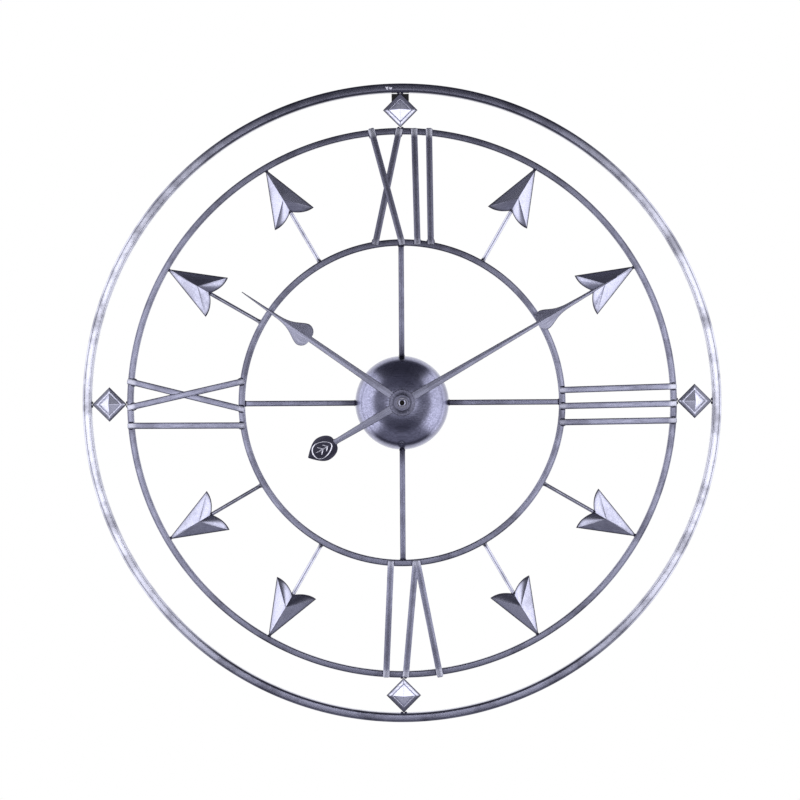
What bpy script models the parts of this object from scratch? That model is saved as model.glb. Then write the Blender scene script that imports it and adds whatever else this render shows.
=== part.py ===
"""Skeleton wall clock of welded steel, with a quartz movement in its domed hub.

The dial faces -Y and twelve o'clock is +Z. The wall is the plane Y = 0, and the dial axis is the
Y axis. Sizes are in millimetres, and each mesh is scaled to metres as it is made. Every piece is
drawn as it stands at twelve o'clock, or on its own axis, and its object carries the turn.
"""

import math

import bmesh
import bpy
from mathutils import Vector

MM = 0.001
GAP = 0.3                       # clearance left between touching pieces

# Frame: rings as (inner radius, outer radius, front, back)
OUTER_RING = (291.4, 300.0, -9.0, 0.0)
MIDDLE_RING = (252.2, 258.3, -7.0, -2.0)
INNER_RING = (147.5, 153.7, -7.0, -2.0)
RING_CORNER = {"outer_ring": 2.0, "middle_ring": 0.8, "inner_ring": 0.8}
RING_STEPS = {"outer_ring": 96, "middle_ring": 96, "inner_ring": 72}

# Numerals: flat bars laid on the front of the middle and the inner ring
BAR_OUT = 257.7
BAR_IN = 148.0
BAR_WIDTH = 6.0
BAR_BACK = MIDDLE_RING[2] - GAP
BAR_FRONT = BAR_BACK - 2.7
BAR_MIDDLE = (BAR_FRONT + BAR_BACK) / 2

# Each bar: name, hour, clockwise offset at its outer and at its inner end
NUMERAL_BARS = (
    ("xii_cross_front", 12, -27.7, 1.4),
    ("xii_cross_back", 12, -0.7, -24.4),
    ("xii_upright_left", 12, 12.9, 15.4),
    ("xii_upright_right", 12, 26.8, 27.9),
    ("iii_upright_top", 3, -13.9, -11.0),
    ("iii_upright_middle", 3, 2.2, 4.0),
    ("iii_upright_bottom", 3, 18.0, 19.2),
    ("vi_upright", 6, 16.5, 11.3),
    ("vi_v_left", 6, -1.8, -12.0),
    ("vi_v_right", 6, -34.4, -13.1),
    ("ix_cross_back", 9, 22.1, -5.5),
    ("ix_cross_front", 9, -3.3, 21.3),
    ("ix_upright", 9, -20.1, -20.4),
)

SPOKE_WIDTH = 5.2
SPOKE_DEPTH = (-6.0, -3.0)

# Arrow markers
ARROW_HOURS = (1, 2, 4, 5, 7, 8, 10, 11)
ARROW_TIP = MIDDLE_RING[0] - GAP
ARROW_LENGTH = 51.6             # tip to the line between the barbs
ARROW_SPAN = 42.4               # barb to barb
ARROW_NOTCH = 44.0              # tip to the notch
ARROW_APEX = 31.5               # tip to the highest point
ARROW_RISE = 9.0
ARROW_RIM = -6.0
ARROW_REAR_BOW = 2.6            # how far the rear edges curve out
ARROW_BLUNT = 0.9               # half width of the flat at the tip
ROD_RADIUS = 1.8
ROD_AXIS = -4.5
SHEET = 1.0

# Diamond studs, in the gap between the outer and the middle ring
DIAMOND_CENTRE = (OUTER_RING[0] + MIDDLE_RING[1]) / 2
DIAMOND_HALF = (OUTER_RING[0] - MIDDLE_RING[1]) / 2 - GAP
DIAMOND_RIM = 3.0
DIAMOND_STEP = 0.8
DIAMOND_RISE = 7.5
DIAMOND_FRONT = -6.5

# Hub
HUB_RADIUS = 44.1
HUB_BACK = -1.0
HUB_DEPTH = 31.0
HUB_POWER = 2.6                 # squareness of the dome's curve
HUB_SHEET = 1.2
HUB_HOLE = 4.2
PLATE_RADIUS = 35.0
PLATE_FRONT = -21.6
PLATE_BACK = -20.1

# Hanger
HANGER_WIDTH = 16.3
HANGER_TOP = OUTER_RING[0] - 0.7
HANGER_BOTTOM = 267.2
HANGER_DEPTH = (-3.0, -1.5)
KEYHOLE_CENTRE = 275.5
KEYHOLE_RADIUS = 4.0
KEYHOLE_SLOT = 2.0
KEYHOLE_TOP = 285.0

# Movement case
MOVEMENT_BACK = -3.0
CASE_SIZE = 56.0
CASE_DEPTH = 16.0
CASE_CORNER = 6.0
CASE_WALL = 1.2
CASE_SPLIT = 7.2                # height of the back half above the movement's back
BAY_TOP = -11.5                 # top of the battery bay
BAY_CORNER = 3.5
TRAIN_FLOOR = BAY_TOP + CASE_WALL
BUSH_OUTER = 4.0
BUSH_INNER = 2.9
BUSH_FRONT = -25.5
BATTERY_RADIUS = 7.1
BATTERY_LENGTH = 49.0
BATTERY_BUTTON = (2.75, 1.0)    # radius and length of the end button
BATTERY_HEIGHT = -19.15         # z of the cell's axis
BATTERY_LEVEL = 5.9             # its height above the movement's back
CONTACT_SHEET = 0.4
CONTACT_WIDTH = 9.0
CONTACT_LEVELS = (2.0, 11.0)
CONTACT_BOW = 1.2

# Electrics in the movement: plan sizes as (x, z), levels as heights above the movement's back
BOARD = ((13.5, 5.0), (26.0, 24.0))
BOARD_LEVELS = (1.8, 2.6)
CRYSTAL_X = 18.0
CRYSTAL_ENDS = (8.0, 14.0)
CRYSTAL_LEVEL = 4.2
CRYSTAL_RADIUS = 1.0
STATOR = ((-26.0, 3.6), (-2.0, 23.0))
STATOR_LEG = 3.0
STATOR_YOKE = 15.5              # z where its two legs start
STATOR_LEVELS = (3.7, 4.5)
STATOR_BORE = 3.1
COIL_RADIUS = 2.6
COIL_BOBBIN = 3.3
COIL_CHEEK = 1.0
COIL_HEIGHT = 19.6              # z of the coil's axis
COIL_LEVEL = 4.6

# Gear train: axes in the dial plane as (x, z)
SECOND_AXIS = Vector((0.0, 0.0))
THIRD_AXIS = Vector((7.92, 0.0))
INTERMEDIATE_AXIS = 7.35 * Vector((math.cos(math.radians(160)), math.sin(math.radians(160))))
ROTOR_AXIS = INTERMEDIATE_AXIS + 5.4 * Vector((math.cos(math.radians(100)), math.sin(math.radians(100))))
MOTION_AXIS = 9.6 * Vector((math.cos(math.radians(70)), math.sin(math.radians(70))))
ROTOR_MODULE = 2 * 5.4 / (6 + 30)
INTERMEDIATE_MODULE = 2 * 7.35 / (6 + 36)
SECOND_MODULE = 2 * 7.92 / (8 + 64)
THIRD_MODULE = 2 * 7.92 / (8 + 60)
CANNON_MODULE = 2 * 9.6 / (12 + 36)
MOTION_MODULE = 2 * 9.6 / (10 + 40)

# Levels of the wheels, as (low, high) heights above the movement's back
ROTOR_LEVELS = {"pinion": (5.0, 6.4), "magnet": (3.1, 5.1), "arbor": (1.5, 7.4)}
INTERMEDIATE_LEVELS = {"wheel": (5.5, 6.1), "pinion": (6.3, 7.5), "arbor": (1.5, 8.6)}
SECOND_LEVELS = {"wheel": (6.5, 7.3), "pinion": (7.5, 9.1), "arbor": (1.5, 9.4)}
THIRD_LEVELS = {"wheel": (8.1, 8.9), "pinion": (9.1, 11.3), "arbor": (1.5, 11.6)}
CENTRE_LEVELS = (10.1, 11.0)
CANNON_LEVELS = (11.4, 13.1)
MOTION_LEVELS = {"wheel": (11.7, 12.6), "pinion": (12.9, 14.5), "arbor": (10.8, 14.6)}
HOUR_LEVELS = (13.3, 14.3)
KNOB_LEVELS = (-2.5, -0.3)
STEM_LEVELS = (-0.5, 10.5)
MAGNET_RADIUS = 2.6
ROTOR_ARBOR = 0.4
TRAIN_ARBOR = 0.5
MOTION_ARBOR = 1.0
KNOB_TEETH = (30, 0.4)          # number of ribs and their module
KNOB_STEM = 1.5
STEM_HOLE = 1.9

# Hands, at ten past ten
MINUTE_TURN = 60.0
HOUR_TURN = 305.0
SHAFT_RADIUS = 1.6
SHAFT_FRONT = -42.6
SHAFT_FOOT = 9.8                # height of its lower end above the movement's back
TUBE_INNER = 1.95
TUBE_OUTER = 2.6
TUBE_FRONT = -36.6
HOUR_HAND_BACK = -34.3
MINUTE_HAND_BACK = -38.4
HAND_SHEET = 0.6
HOUR_BOSS = 12.0                # radii of the bosses, of their collets, and of the nut's rim
HOUR_COLLET = 4.6
MINUTE_BOSS = 12.3
MINUTE_COLLET = 7.4
NUT_TEETH = (28, 0.355)         # number of ribs and their module
NUT_HEIGHT = 2.7

STEEL = ("#8a8aa6", 1.0, 0.38)
STEEL_DARK = ("#4b4a5c", 1.0, 0.42)
BLACK_STEEL = ("#1a1a1d", 0.6, 0.5)
BLACK_PLASTIC = ("#17171a", 0.0, 0.45)
WHITE_PLASTIC = ("#e6e4dc", 0.0, 0.4)
BRASS = ("#b8913f", 1.0, 0.3)
NICKEL = ("#c9c9cc", 1.0, 0.2)
RUBBER = ("#141414", 0.0, 0.85)
BOARD_GREEN = ("#1f5a36", 0.0, 0.5)
COPPER = ("#b06a3a", 1.0, 0.35)
MAGNET = ("#3a3a3e", 1.0, 0.3)
BATTERY_FOIL = ("#3c5f8a", 0.4, 0.35)


# ---------------------------------------------------------------- scene helpers

def clear_scene():
    """Start from an empty scene."""
    for item in list(bpy.data.objects):
        bpy.data.objects.remove(item, do_unlink=True)


def linear(hex_colour):
    """Linear RGBA of an sRGB hex colour."""
    channels = [int(hex_colour[i:i + 2], 16) / 255 for i in (1, 3, 5)]
    return [c / 12.92 if c <= 0.04045 else ((c + 0.055) / 1.055) ** 2.4 for c in channels] + [1.0]


def paint(item, finish):
    """Give a piece its own material: colour, metallic value and roughness."""
    colour, metallic, roughness = finish
    material = bpy.data.materials.new(item.name)
    material.use_nodes = True
    shader = material.node_tree.nodes["Principled BSDF"]
    shader.inputs["Base Color"].default_value = linear(colour)
    shader.inputs["Metallic"].default_value = metallic
    shader.inputs["Roughness"].default_value = roughness
    item.data.materials.clear()
    item.data.materials.append(material)


def add_object(name, bm):
    """Make an object from a bmesh drawn in millimetres, with its faces turned outwards."""
    bmesh.ops.recalc_face_normals(bm, faces=bm.faces)
    bmesh.ops.scale(bm, vec=(MM, MM, MM), verts=bm.verts)
    mesh = bpy.data.meshes.new(name)
    bm.to_mesh(mesh)
    bm.free()
    mesh.shade_smooth()
    mesh.set_sharp_from_angle(angle=math.radians(30))
    item = bpy.data.objects.new(name, mesh)
    bpy.context.scene.collection.objects.link(item)
    return item


def loft(name, sections, closed=False):
    """Join equal sections, each a list of (x, y, z) points, into a capped tube or a closed loop."""
    bm = bmesh.new()
    loops = [[bm.verts.new(point) for point in section] for section in sections]
    followers = loops[1:] + (loops[:1] if closed else [])
    for loop, following in zip(loops, followers):
        for i, vert in enumerate(loop):
            after = (i + 1) % len(loop)
            bm.faces.new((vert, loop[after], following[after], following[i]))
    if not closed:
        bm.faces.new(loops[0])
        bm.faces.new(reversed(loops[-1]))
    return add_object(name, bm)


def prism(name, outline, front, back):
    """Extrude an outline of (x, z) points along Y."""
    return loft(name, [[(x, y, z) for x, z in outline] for y in (front, back)])


def turned(name, profile, steps):
    """Turn a closed profile of (radius, y) points about the Y axis."""
    sections = []
    for k in range(steps):
        angle = 2 * math.pi * k / steps
        sections.append([(r * math.sin(angle), y, r * math.cos(angle)) for r, y in profile])
    return loft(name, sections, closed=True)


def circle(radius, steps=24, centre=(0.0, 0.0)):
    """Points of a circle in the dial plane."""
    angles = [2 * math.pi * k / steps for k in range(steps)]
    return [(centre[0] + radius * math.sin(a), centre[1] + radius * math.cos(a)) for a in angles]


def rounded_box(low, high, corner, steps=4):
    """Outline of a box from low to high, (x, z), with round corners."""
    points = []
    corners = ((high[0], high[1], 0), (low[0], high[1], 90), (low[0], low[1], 180), (high[0], low[1], 270))
    for x, z, start in corners:
        centre_x = x - math.copysign(corner, x - (low[0] + high[0]) / 2)
        centre_z = z - math.copysign(corner, z - (low[1] + high[1]) / 2)
        for k in range(steps + 1):
            angle = math.radians(start + 90 * k / steps)
            points.append((centre_x + corner * math.cos(angle), centre_z + corner * math.sin(angle)))
    return points


def box_outline(low, high):
    """Outline of a plain box from low to high, (x, z)."""
    return [(low[0], low[1]), (high[0], low[1]), (high[0], high[1]), (low[0], high[1])]


def combine(target, other, operation):
    """Join another object into the target, or cut it out of it, and remove that object."""
    modifier = target.modifiers.new(operation.title(), "BOOLEAN")
    modifier.operation = operation
    modifier.solver = "EXACT"
    modifier.object = other
    bpy.context.view_layer.update()
    evaluated = target.evaluated_get(bpy.context.evaluated_depsgraph_get())
    mesh = bpy.data.meshes.new_from_object(evaluated)
    mesh.name = target.name
    target.modifiers.clear()
    target.data = mesh
    bpy.data.objects.remove(other, do_unlink=True)


def join(target, *others):
    """Weld other objects to the target as one body."""
    for other in others:
        combine(target, other, "UNION")
    return target


def cut(target, *cutters):
    """Cut other objects out of the target."""
    for cutter in cutters:
        combine(target, cutter, "DIFFERENCE")
    return target


def at_hour(item, hour):
    """Turn a piece drawn at twelve o'clock to its hour."""
    item.rotation_euler.y = math.radians(30 * (hour % 12))


def on_axis(item, axis):
    """Move a piece drawn on the dial axis to its own arbor's axis, (x, z)."""
    item.location = (axis[0] * MM, 0.0, axis[1] * MM)


# ---------------------------------------------------------------- frame

def ring_profile(ring, corner):
    """Section of a ring with rounded corners, as (radius, y) points."""
    inner, outer, front, back = ring
    return rounded_box((inner, front), (outer, back), corner, steps=2)


def make_rings():
    """The three rings, each a bent and butt-welded bar."""
    for name, ring in (("outer_ring", OUTER_RING), ("middle_ring", MIDDLE_RING), ("inner_ring", INNER_RING)):
        item = turned(name, ring_profile(ring, RING_CORNER[name]), RING_STEPS[name])
        paint(item, STEEL)


def bar_prism(name, start, end, width, front, back, overrun=0.0):
    """A flat bar between two (x, z) points, made longer by the overrun at both ends."""
    start = Vector(start)
    end = Vector(end)
    along = (end - start).normalized()
    across = Vector((-along.y, along.x)) * width / 2
    start = start - along * overrun
    end = end + along * overrun
    return prism(name, [start + across, end + across, end - across, start - across], front, back)


def numeral_ends(name):
    """Ends of a numeral bar at twelve o'clock."""
    _, _, offset_out, offset_in = next(row for row in NUMERAL_BARS if row[0] == name)
    return (offset_out, BAR_OUT), (offset_in, BAR_IN)


def bar_cutter(name, front, back):
    """The space that a numeral bar takes up, with clearance, for cutting the bar that it meets."""
    start, end = numeral_ends(name)
    return bar_prism("cutter", start, end, BAR_WIDTH + 2 * GAP, front, back, overrun=20.0)


def make_numerals():
    """Numeral bars. The bars of an X are halved into each other, and one bar of the V is mitred."""
    bars = {}
    for name, _, _, _ in NUMERAL_BARS:
        start, end = numeral_ends(name)
        bars[name] = bar_prism(name, start, end, BAR_WIDTH, BAR_FRONT, BAR_BACK)
    for cross in ("xii_cross", "ix_cross"):
        front_bar = cross + "_front"
        back_bar = cross + "_back"
        cut(bars[front_bar], bar_cutter(back_bar, BAR_MIDDLE - GAP / 2, BAR_BACK + 1))
        cut(bars[back_bar], bar_cutter(front_bar, BAR_FRONT - 1, BAR_MIDDLE + GAP / 2))
    cut(bars["vi_v_left"], bar_cutter("vi_v_right", BAR_FRONT - 1, BAR_BACK + 1))
    for name, hour, _, _ in NUMERAL_BARS:
        at_hour(bars[name], hour)
        paint(bars[name], STEEL_DARK if hour == 12 else STEEL)


def make_spokes():
    """Four flat bars between the inner ring and the hub."""
    for hour in (12, 3, 6, 9):
        ends = (0.0, HUB_RADIUS + 0.4), (0.0, INNER_RING[0] - 0.4)
        item = bar_prism(f"spoke_{hour:02d}", *ends, SPOKE_WIDTH, *SPOKE_DEPTH)
        at_hour(item, hour)
        paint(item, STEEL)


def thicken(item, thickness):
    """Give a pressed sheet its thickness behind its front face."""
    solidify = item.modifiers.new("Sheet", "SOLIDIFY")
    solidify.thickness = thickness * MM
    solidify.offset = 1.0
    solidify.use_even_offset = True
    bpy.context.view_layer.update()
    evaluated = item.evaluated_get(bpy.context.evaluated_depsgraph_get())
    mesh = bpy.data.meshes.new_from_object(evaluated)
    item.modifiers.clear()
    item.data = mesh


def sheet(name, points, faces):
    """An open sheet whose faces look towards +Y, so that its thickness can be added behind."""
    mesh = bpy.data.meshes.new(name)
    mesh.from_pydata([Vector(point) * MM for point in points], [], faces)
    bm = bmesh.new()
    bm.from_mesh(mesh)
    for face in bm.faces:
        face.normal_update()
        if face.normal.y < 0:
            face.normal_flip()
    bm.to_mesh(mesh)
    bm.free()
    item = bpy.data.objects.new(name, mesh)
    bpy.context.scene.collection.objects.link(item)
    return item


def arrow_head():
    """Swallow-tailed head pressed to a peak, with ridges to its tip, barbs and notch."""
    barb = ARROW_TIP - ARROW_LENGTH
    notch = ARROW_TIP - ARROW_NOTCH
    half = ARROW_SPAN / 2
    steps = 4
    rear = []
    for k in range(1, steps):
        t = k / steps
        bow = ARROW_REAR_BOW * 4 * t * (1 - t)
        rear.append((half * (1 - t), ARROW_RIM, barb + (notch - barb) * t - bow))
    rim = [(ARROW_BLUNT, ARROW_RIM, ARROW_TIP), (half, ARROW_RIM, barb)] + rear + [(0.0, ARROW_RIM, notch)]
    rim += [(-x, y, z) for x, y, z in reversed(rear)] + [(-half, ARROW_RIM, barb)]
    rim.append((-ARROW_BLUNT, ARROW_RIM, ARROW_TIP))
    apex = len(rim)
    faces = [(i, (i + 1) % apex, apex) for i in range(apex)]
    head = sheet("arrow_head", rim + [(0.0, ARROW_RIM - ARROW_RISE, ARROW_TIP - ARROW_APEX)], faces)
    thicken(head, SHEET)
    return head


def make_arrows():
    """Eight arrow markers, each head welded on its round rod."""
    head = arrow_head()
    start = INNER_RING[1] + 0.4
    end = ARROW_TIP - ARROW_NOTCH + 3.5
    sections = []
    for z in (start, end):
        sections.append([(x, ROD_AXIS + y, z) for x, y in circle(ROD_RADIUS, 12)])
    rod = loft("rod", sections)
    join(head, rod)
    for hour in ARROW_HOURS:
        item = bpy.data.objects.new(f"arrow_{hour:02d}", head.data.copy())
        bpy.context.scene.collection.objects.link(item)
        at_hour(item, hour)
        paint(item, STEEL)
    bpy.data.objects.remove(head, do_unlink=True)


def make_diamonds():
    """Four pyramid studs with a flat rim and a small step."""
    base = DIAMOND_HALF - DIAMOND_RIM
    levels = (
        (DIAMOND_HALF, DIAMOND_FRONT),
        (base, DIAMOND_FRONT),
        (base - 0.6, DIAMOND_FRONT - DIAMOND_STEP),
    )
    points = []
    for half, y in levels:
        points += [(0, y, DIAMOND_CENTRE + half), (half, y, DIAMOND_CENTRE)]
        points += [(0, y, DIAMOND_CENTRE - half), (-half, y, DIAMOND_CENTRE)]
    points.append((0, DIAMOND_FRONT - DIAMOND_RISE, DIAMOND_CENTRE))
    faces = []
    for k in range(4):
        after = (k + 1) % 4
        faces += [(k, after, after + 4, k + 4), (k + 4, after + 4, after + 8, k + 8), (k + 8, after + 8, 12)]
    for hour in (12, 3, 6, 9):
        item = sheet(f"diamond_{hour:02d}", points, faces)
        thicken(item, SHEET)
        at_hour(item, hour)
        paint(item, STEEL)


def make_hanger():
    """Plate behind the top stud, with a keyhole for the nail."""
    half = HANGER_WIDTH / 2
    outline = box_outline((-half, HANGER_BOTTOM), (half, HANGER_TOP))
    item = prism("hanger_bracket", outline, *HANGER_DEPTH)
    keyhole = prism("cutter", circle(KEYHOLE_RADIUS, 24, (0, KEYHOLE_CENTRE)), -5, 1)
    slot = box_outline((-KEYHOLE_SLOT, KEYHOLE_CENTRE), (KEYHOLE_SLOT, KEYHOLE_TOP))
    cut(item, keyhole, prism("cutter", slot, -5, 1))
    paint(item, BLACK_STEEL)


# ---------------------------------------------------------------- hub

def dome_points(radius, depth, hole, steps):
    """Side of a dome, (r/R)^p + (d/D)^p = 1, from its rim to the edge of its centre hole."""
    points = []
    last = math.acos((hole / radius) ** (HUB_POWER / 2))
    for k in range(steps + 1):
        angle = last * k / steps
        r = radius * math.cos(angle) ** (2 / HUB_POWER)
        d = depth * math.sin(angle) ** (2 / HUB_POWER)
        points.append((r, HUB_BACK - d))
    return points


def make_hub():
    """Spun dome, open at the back, and the disc inside that the movement is bolted to."""
    outside = dome_points(HUB_RADIUS, HUB_DEPTH, HUB_HOLE, 10)
    inside = dome_points(HUB_RADIUS - HUB_SHEET, HUB_DEPTH - HUB_SHEET, HUB_HOLE, 10)
    paint(turned("hub_dome", outside + inside[::-1], 48), STEEL)
    plate = prism("hub_mount_plate", circle(PLATE_RADIUS, 48), PLATE_FRONT, PLATE_BACK)
    cut(plate, prism("cutter", circle(BUSH_OUTER + GAP), PLATE_FRONT - 1, PLATE_BACK + 1))
    paint(plate, BLACK_STEEL)


# ---------------------------------------------------------------- movement

def level(height):
    """Y of a height above the movement's back face."""
    return MOVEMENT_BACK - height


def layer(name, outline, low, high):
    """Extrude an outline between two heights above the movement's back face."""
    return prism(name, outline, level(high), level(low))


def make_case():
    """The two halves of the movement's case. The battery bay is open at the back."""
    half = CASE_SIZE / 2
    inner = half - CASE_WALL
    outline = rounded_box((-half, -half), (half, half), CASE_CORNER)
    train = rounded_box((-inner, TRAIN_FLOOR), (inner, inner), CASE_CORNER - CASE_WALL)
    bay = rounded_box((-inner, -inner), (inner, BAY_TOP), BAY_CORNER)
    ceiling = CASE_DEPTH - CASE_WALL

    front = layer("movement_case_front", outline, CASE_SPLIT + GAP, CASE_DEPTH)
    join(front, prism("bush", circle(BUSH_OUTER, 32), BUSH_FRONT, level(CASE_DEPTH - 0.5)))
    cut(front, layer("cutter", train, 0, ceiling), layer("cutter", bay, 0, ceiling))
    cut(front, prism("cutter", circle(BUSH_INNER, 32), BUSH_FRONT - 1, level(0)))
    paint(front, BLACK_PLASTIC)

    back = layer("movement_case_back", outline, 0, CASE_SPLIT)
    cut(back, layer("cutter", train, CASE_WALL, CASE_DEPTH), layer("cutter", bay, -1, CASE_DEPTH))
    cut(back, layer("cutter", circle(STEM_HOLE, 20, MOTION_AXIS), -1, CASE_WALL + 1))
    paint(back, BLACK_PLASTIC)


def make_fixings():
    """Gasket, washer and nut that hold the movement to its plate by the threaded bush."""
    rows = (
        ("movement_gasket", circle(9.0, 32), PLATE_BACK + GAP, level(CASE_DEPTH) - GAP, RUBBER),
        ("movement_washer", circle(8.0, 32), PLATE_FRONT - 0.8, PLATE_FRONT - GAP, NICKEL),
        ("fixing_nut", circle(6.9, 6), PLATE_FRONT - 3.1, PLATE_FRONT - 1.1, BRASS),
    )
    for name, outline, front, back, finish in rows:
        item = prism(name, outline, front, back)
        cut(item, prism("cutter", circle(BUSH_OUTER + GAP), front - 1, back + 1))
        paint(item, finish)


def make_battery():
    """AA cell lying in its bay, and the two contacts at its ends."""
    half = BATTERY_LENGTH / 2
    profile = (
        (-half, BATTERY_RADIUS),
        (half, BATTERY_RADIUS),
        (half, BATTERY_BUTTON[0]),
        (half + BATTERY_BUTTON[1], BATTERY_BUTTON[0]),
    )
    sections = []
    for x, radius in profile:
        sections.append([(x, level(BATTERY_LEVEL) + a, BATTERY_HEIGHT + b) for a, b in circle(radius, 24)])
    paint(loft("battery", sections), BATTERY_FOIL)

    wall = CASE_SIZE / 2 - CASE_WALL - GAP
    low = (BATTERY_HEIGHT - CONTACT_WIDTH / 2, level(CONTACT_LEVELS[0]))
    high = (BATTERY_HEIGHT + CONTACT_WIDTH / 2, level(CONTACT_LEVELS[1]))
    corners = box_outline(low, high)
    sections = [[(x, y, z) for z, y in corners] for x in (wall - CONTACT_SHEET, wall)]
    paint(loft("contact_positive", sections), NICKEL)

    steps = 6
    front_side = []
    back_side = []
    for k in range(steps + 1):
        t = k / steps
        y = level(CONTACT_LEVELS[0] + (CONTACT_LEVELS[1] - CONTACT_LEVELS[0]) * t)
        x = -wall + CONTACT_BOW * 4 * t * (1 - t)
        front_side.append((x + CONTACT_SHEET, y))
        back_side.append((x, y))
    loop = front_side + back_side[::-1]
    sections = [[(x, y, z) for x, y in loop] for z in (low[0], high[0])]
    paint(loft("contact_negative", sections), NICKEL)


def make_electrics():
    """Circuit board with its crystal, and the stepping motor's coil and stator."""
    paint(layer("circuit_board", box_outline(*BOARD), *BOARD_LEVELS), BOARD_GREEN)
    sections = []
    for z in CRYSTAL_ENDS:
        sections.append([(CRYSTAL_X + a, level(CRYSTAL_LEVEL) + b, z) for a, b in circle(CRYSTAL_RADIUS, 12)])
    paint(loft("quartz_crystal", sections), NICKEL)

    (left, low), (right, high) = STATOR
    inner_left = left + STATOR_LEG
    inner_right = right - STATOR_LEG
    outline = [(left, low), (right, low), (right, high), (inner_right, high)]
    outline += [(inner_right, STATOR_YOKE), (inner_left, STATOR_YOKE), (inner_left, high), (left, high)]
    stator = layer("stator", outline, *STATOR_LEVELS)
    cut(stator, prism("cutter", circle(STATOR_BORE, 24, ROTOR_AXIS), level(STATOR_LEVELS[1] + 1), level(2)))
    paint(stator, NICKEL)

    start = inner_left + GAP
    end = inner_right - GAP
    cheek = start + COIL_CHEEK, end - COIL_CHEEK
    profile = ((start, COIL_BOBBIN), (cheek[0], COIL_BOBBIN), (cheek[0], COIL_RADIUS),
               (cheek[1], COIL_RADIUS), (cheek[1], COIL_BOBBIN), (end, COIL_BOBBIN))
    sections = []
    for x, radius in profile:
        sections.append([(x, level(COIL_LEVEL) + a, COIL_HEIGHT + b) for a, b in circle(radius, 16)])
    paint(loft("coil", sections), COPPER)


def gear_outline(teeth, module, phase=0.0):
    """Outline of a gear whose first tooth points up, turned clockwise by the phase in radians."""
    pitch = 2 * math.pi / teeth
    root = module * (teeth / 2 - 1.15)
    tip = module * (teeth / 2 + 0.75)
    points = []
    for k in range(teeth):
        centre = phase + k * pitch
        for offset, radius in ((-0.24, root), (-0.11, tip), (0.11, tip), (0.24, root)):
            angle = centre + offset * pitch
            points.append((radius * math.sin(angle), radius * math.cos(angle)))
    return points


def bearing_between(first, second):
    """Clockwise angle from up of the line from one axis to another."""
    return math.atan2(second[0] - first[0], second[1] - first[1])


def mesh_phase(driver, driver_phase, driver_teeth, driven, driven_teeth):
    """Phase that puts a driven gear's gap where the driver's tooth reaches it."""
    direction = bearing_between(driver, driven)
    lead = (driver_phase - direction) * driver_teeth / driven_teeth
    return direction + math.pi + math.pi / driven_teeth - lead


def arbor_wheel(name, axis, wheel, pinion, arbor_radius, levels):
    """A wheel and its pinion, each given as (teeth, module, phase), on one arbor."""
    item = layer(name, gear_outline(*wheel), *levels["wheel"])
    join(item, layer("pinion", gear_outline(*pinion), *levels["pinion"]))
    join(item, layer("arbor", circle(arbor_radius, 12), *levels["arbor"]))
    on_axis(item, axis)
    paint(item, WHITE_PLASTIC)


def make_train():
    """The wheels from the motor's rotor to the centre wheel, each with its pinion on its arbor."""
    intermediate_phase = mesh_phase(ROTOR_AXIS, 0.0, 6, INTERMEDIATE_AXIS, 30)
    second_phase = mesh_phase(INTERMEDIATE_AXIS, 0.0, 6, SECOND_AXIS, 36)
    third_phase = mesh_phase(SECOND_AXIS, 0.0, 8, THIRD_AXIS, 64)
    centre_phase = mesh_phase(THIRD_AXIS, 0.0, 8, SECOND_AXIS, 60)

    rotor = layer("rotor", gear_outline(6, ROTOR_MODULE), *ROTOR_LEVELS["pinion"])
    join(rotor, layer("magnet", circle(MAGNET_RADIUS), *ROTOR_LEVELS["magnet"]))
    join(rotor, layer("arbor", circle(ROTOR_ARBOR, 10), *ROTOR_LEVELS["arbor"]))
    on_axis(rotor, ROTOR_AXIS)
    paint(rotor, MAGNET)

    arbor_wheel("intermediate_wheel", INTERMEDIATE_AXIS, (30, ROTOR_MODULE, intermediate_phase),
                (6, INTERMEDIATE_MODULE), TRAIN_ARBOR, INTERMEDIATE_LEVELS)
    arbor_wheel("second_wheel", SECOND_AXIS, (36, INTERMEDIATE_MODULE, second_phase),
                (8, SECOND_MODULE), TRAIN_ARBOR, SECOND_LEVELS)
    arbor_wheel("third_wheel", THIRD_AXIS, (64, SECOND_MODULE, third_phase),
                (8, THIRD_MODULE), TRAIN_ARBOR, THIRD_LEVELS)

    wheel = layer("centre_wheel", gear_outline(60, THIRD_MODULE, centre_phase), *CENTRE_LEVELS)
    cut(wheel, prism("cutter", circle(SHAFT_RADIUS + GAP), level(CENTRE_LEVELS[1] + 1), level(9)))
    paint(wheel, WHITE_PLASTIC)


def make_motion_work():
    """Minute shaft with its cannon pinion, the motion wheel, the hour wheel and the setting knob."""
    minute_turn = math.radians(MINUTE_TURN)
    shaft = prism("minute_shaft", circle(SHAFT_RADIUS), SHAFT_FRONT, level(SHAFT_FOOT))
    join(shaft, layer("cannon", gear_outline(12, CANNON_MODULE, minute_turn), *CANNON_LEVELS))
    paint(shaft, BRASS)

    motion_phase = mesh_phase(SECOND_AXIS, minute_turn, 12, MOTION_AXIS, 36)
    arbor_wheel("motion_wheel", MOTION_AXIS, (36, CANNON_MODULE, motion_phase),
                (10, MOTION_MODULE), MOTION_ARBOR, MOTION_LEVELS)

    knob = layer("setting_knob", gear_outline(*KNOB_TEETH), *KNOB_LEVELS)
    join(knob, layer("stem", circle(KNOB_STEM, 16), *STEM_LEVELS))
    on_axis(knob, MOTION_AXIS)
    paint(knob, WHITE_PLASTIC)

    hour_phase = mesh_phase(MOTION_AXIS, 0.0, 10, SECOND_AXIS, 40)
    hour = layer("hour_wheel", gear_outline(40, MOTION_MODULE, hour_phase), *HOUR_LEVELS)
    join(hour, prism("tube", circle(TUBE_OUTER), TUBE_FRONT, level(HOUR_LEVELS[0] + 0.2)))
    cut(hour, prism("cutter", circle(TUBE_INNER), TUBE_FRONT - 1, level(HOUR_LEVELS[0] - 1)))
    paint(hour, WHITE_PLASTIC)


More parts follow.
